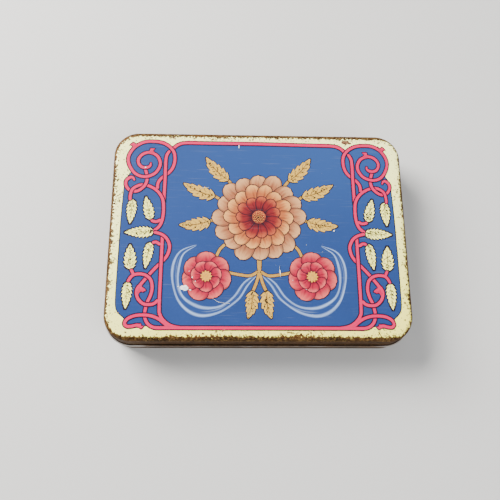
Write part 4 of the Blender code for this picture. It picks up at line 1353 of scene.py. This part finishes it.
class TIN_OT_blossoms(bpy.types.Operator):
    """Lay the two red flowers with their gold hearts"""

    bl_idname = "tin.blossoms"
    bl_label = "Red flowers"

    def execute(self, context):
        face = petal_ink("blossom ink", *BLOSSOM_INK)
        gold = plain_ink("gold ink", (0.50, 0.22, 0.02), (0.74, 0.42, 0.10))
        dark = outline_ink("blossom outline", (0.032, 0.011, 0.016))
        angles, ways = full_turn(60)
        heart_edge = (2.3 + 0.35 * np.cos(angles * 11))[:, None] * MM * ways
        for side, sign in SIDES:
            centre = (BLOSSOM_CENTRE[0] * sign, BLOSSOM_CENTRE[1])
            middle = np.array(centre) * MM
            petals, lines, heart = Solid(), Solid(), Solid()
            for ring, layer, turn in BLOSSOM_RINGS:
                flower_ring(petals, lines, centre, ring, shelf(layer), math.pi / 2 + turn, 0.4)
            disc(heart, middle + heart_edge, shelf("heart"), middle)
            petals.piece(f"blossom_petals_{side}", "lid", "red_print", [face], f"blossom_{side}")
            lines.piece(f"blossom_lines_{side}", "lid", "plum_print", [dark])
            heart.piece(f"blossom_gold_{side}", "lid", "gold_print", [gold], f"blossom_heart_{side}")
        return {"FINISHED"}


class TIN_OT_ribbons(bpy.types.Operator):
    """Lay the two pale ribbons that wind under the flowers"""

    bl_idname = "tin.ribbons"
    bl_label = "Pale ribbons"

    def execute(self, context):
        pale = wisp_ink("pale ribbon ink")
        for side, sign in SIDES:
            plan = smooth_path([(x * sign, y) for x, y in RIBBON], 0.5) * MM
            share = np.linspace(0.0, 1.0, len(plan))
            swell = 0.05 + np.sin(share * np.pi) ** 0.55 * (1.0 + 0.25 * np.sin(share * 17.0))
            solid = Solid()
            ribbon(solid, plan, RIBBON_HALF * MM * swell, shelf("ribbon"), 7)
            solid.piece(f"pale_ribbon_{side}", "lid", "wisp_print", [pale], f"ribbon_{side}")
        return {"FINISHED"}


class TIN_OT_gold_leaves(bpy.types.Operator):
    """Lay the eight gold leaves round the flowers"""

    bl_idname = "tin.gold_leaves"
    bl_label = "Gold leaves"

    def execute(self, context):
        line = context.scene.tin_print.outline * 0.7
        names = ("spray_leaf_", "spray_leaf_line_", "gold_leaf_")
        inks = (
            veined_leaf("gold leaf ink", (0.52, 0.31, 0.055), (0.085, 0.032, 0.008), 6.0),
            outline_ink("gold leaf outline", (0.028, 0.014, 0.018)),
        )
        for number, (base, tip, width, teeth) in enumerate(SPRAY_LEAVES, start=1):
            for side, sign in SIDES:
                form = (*[(x * sign, y) for x, y in (base, tip)], width, teeth)
                tail, curve = f"{side}_{number}", 0.9 * sign
                leaf_pieces(names, tail, form, "gold_leaf", line, "gold_print", inks, curve)
        return {"FINISHED"}


class TIN_OT_stems(bpy.types.Operator):
    """Lay the thin gold stems that join the flowers and leaves"""

    bl_idname = "tin.stems"
    bl_label = "Gold stems"

    def execute(self, context):
        line = context.scene.tin_print.outline * 0.7
        gold, dark = Solid(), Solid()
        for points in SPRAY_STEMS:
            plan = smooth_path(points, 0.5) * MM
            half = rounded_ends(plan, STEM_HALF * MM)
            ribbon(gold, plan, half, shelf("stem"))
            ribbon(dark, plan, half + line, shelf("stem_line"))
        gold.mirror()
        dark.mirror()
        face = plain_ink("stem ink", (0.33, 0.17, 0.03), (0.50, 0.30, 0.06))
        gold.piece("spray_stems", "lid", "gold_print", [face])
        ink = outline_ink("stem outline", (0.018, 0.007, 0.018))
        dark.piece("spray_stem_lines", "lid", "plum_print", [ink])
        return {"FINISHED"}


class TIN_OT_marks(bpy.types.Operator):
    """Lay the lid's knocks: pale scuffs, rust spots, cracks in the margin and fine scratches"""

    bl_idname = "tin.marks"
    bl_label = "Knocks and rust"

    def execute(self, context):
        pale, rust = Solid(), Solid()
        angles, ring = full_turn(40)
        chance = np.random.default_rng(7)
        over, under = shelf("scuff"), shelf("rust")
        for solid, spots, top in ((pale, PALE_SCUFFS, over), (rust, RUST_SPOTS, under)):
            for middle, halves, turn, jag in spots:
                waves = sum(
                    np.sin(angles * n + chance.uniform(0.0, 6.3)) * chance.uniform(0.4, 1.0) / n**0.6
                    for n in (2, 3, 5, 7, 11, 13)
                )
                edge = ring * halves * (1.0 + jag * 0.42 * waves)[:, None]
                cos, sin = math.cos(math.radians(turn)), math.sin(math.radians(turn))
                turned = edge @ np.array([[cos, sin], [-sin, cos]])
                disc(solid, (turned + middle) * MM, top, np.array(middle) * MM)
        lines = [(rust, points, CRACK_HALF, under) for points in CRACKS]
        lines += [(pale, points, SCRATCH_HALF, over) for points in FINE_SCRATCHES]
        for solid, points, half, top in lines:
            plan = smooth_path(points, 0.18) * MM
            place = np.arange(len(plan))
            wander = 0.55 + 0.45 * np.sin(place * 2.1) * np.sin(place * 0.7)
            taper = np.sin(np.linspace(0.06, np.pi - 0.06, len(plan))) ** 0.5
            ribbon(solid, plan, half * MM * wander * taper + 0.00001, top)
        pale.piece("pale_scuffs", "lid", "tinplate", [scuff_white("bared primer")])
        rust.piece("rust_marks", "lid", "tinplate", [dark_scar("rust")])
        return {"FINISHED"}


class TIN_OT_stage(bpy.types.Operator):
    """Set the pale floor, the soft lights and the camera"""

    bl_idname = "tin.stage"
    bl_label = "Stage"

    def execute(self, context):
        scene, stage = context.scene, context.scene.tin_stage
        places = np.linspace(-FLOOR_HALF, FLOOR_HALF, 5)
        x, y = np.meshgrid(places, places, indexing="ij")
        mesh = bpy.data.meshes.new("floor")
        index = np.arange(25).reshape(5, 5)
        faces = np.stack([index[:-1, :-1], index[1:, :-1], index[1:, 1:], index[:-1, 1:]], -1)
        mesh.from_pydata(np.stack([x, y, 0.0 * x], -1).reshape(-1, 3), [], faces.reshape(-1, 4).tolist())
        mesh.materials.append(pale_floor("pale floor"))
        floor = bpy.data.objects.new("floor", mesh)
        scene.collection.objects.link(floor)
        for name, (place, aim, size_x, size_y, power, colour) in LAMPS.items():
            light = bpy.data.lights.new(name, "AREA")
            light.shape = "RECTANGLE"
            light.size, light.size_y = size_x, size_y
            light.energy, light.color = power, colour
            lamp = bpy.data.objects.new(name, light)
            lamp.location = place
            x, y, z = np.array(aim) - np.array(place)
            lamp.rotation_euler = (math.atan2(math.hypot(x, y), -z), 0.0, math.atan2(y, x) - math.pi / 2)
            scene.collection.objects.link(lamp)
        scene.world = self.soft_studio()
        camera = bpy.data.cameras.new("camera")
        camera.lens = stage.lens
        camera.sensor_width = 36.0
        camera.clip_start = 0.01
        eye = bpy.data.objects.new("camera", camera)
        eye.location = stage.camera_place
        eye.rotation_euler = stage.camera_turn
        scene.collection.objects.link(eye)
        scene.camera = eye
        return {"FINISHED"}

    def soft_studio(self):
        """A world that glows softly from its horizon and is dim overhead."""
        world = bpy.data.worlds.new("soft studio")
        paint = Paint(world, "Generated")
        dim = 1.0 - (1.0 - paint.z.most(0.0)).math("POWER", 1.5)
        sky = paint.mix(dim, (1.30, 1.31, 1.33), (0.13, 0.14, 0.16))
        sky = paint.mix(paint.z.step(-0.01, 0.20), (0.36, 0.365, 0.37), sky)
        glow = paint.node("ShaderNodeBackground", inputs={"Color": sky, "Strength": 1.0})
        paint.node("ShaderNodeOutputWorld", inputs={0: glow}, output=None)
        return world


STEPS = (
    TIN_OT_lid, TIN_OT_tray, TIN_OT_pins, TIN_OT_ground, TIN_OT_scroll, TIN_OT_leaves,
    TIN_OT_ribbons, TIN_OT_gold_leaves, TIN_OT_stems, TIN_OT_dahlia, TIN_OT_blossoms,
    TIN_OT_marks, TIN_OT_stage,
)
GROUPS = {
    "tin_shape": TinShape, "tin_print": TinPrint, "tin_colours": TinColours, "tin_wear": TinWear,
    "tin_stage": TinStage,
}


class TIN_PT_dresser(bpy.types.Panel):
    """Lists the tin's sizes, colours and building steps"""

    bl_idname = "TIN_PT_dresser"
    bl_label = "Tobacco tin"
    bl_space_type = "VIEW_3D"
    bl_region_type = "UI"
    bl_category = "Tin"

    def draw(self, context):
        for group, kind in GROUPS.items():
            column = self.layout.column(align=True)
            for name in kind.__annotations__:
                column.prop(getattr(context.scene, group), name)
        for step in STEPS:
            self.layout.operator(step.bl_idname)


def register():
    """Register the property groups, the operators and the panel."""
    for name, kind in GROUPS.items():
        bpy.utils.register_class(kind)
        setattr(bpy.types.Scene, name, bpy.props.PointerProperty(type=kind))
    for kind in (*STEPS, TIN_PT_dresser):
        bpy.utils.register_class(kind)


def unregister():
    """Take them away again."""
    for kind in (TIN_PT_dresser, *STEPS[::-1]):
        bpy.utils.unregister_class(kind)
    for name, kind in GROUPS.items():
        delattr(bpy.types.Scene, name)
        bpy.utils.unregister_class(kind)


def main():
    register()
    for step in STEPS:
        group, name = step.bl_idname.split(".")
        getattr(getattr(bpy.ops, group), name)()


if __name__ == "__main__":
    main()
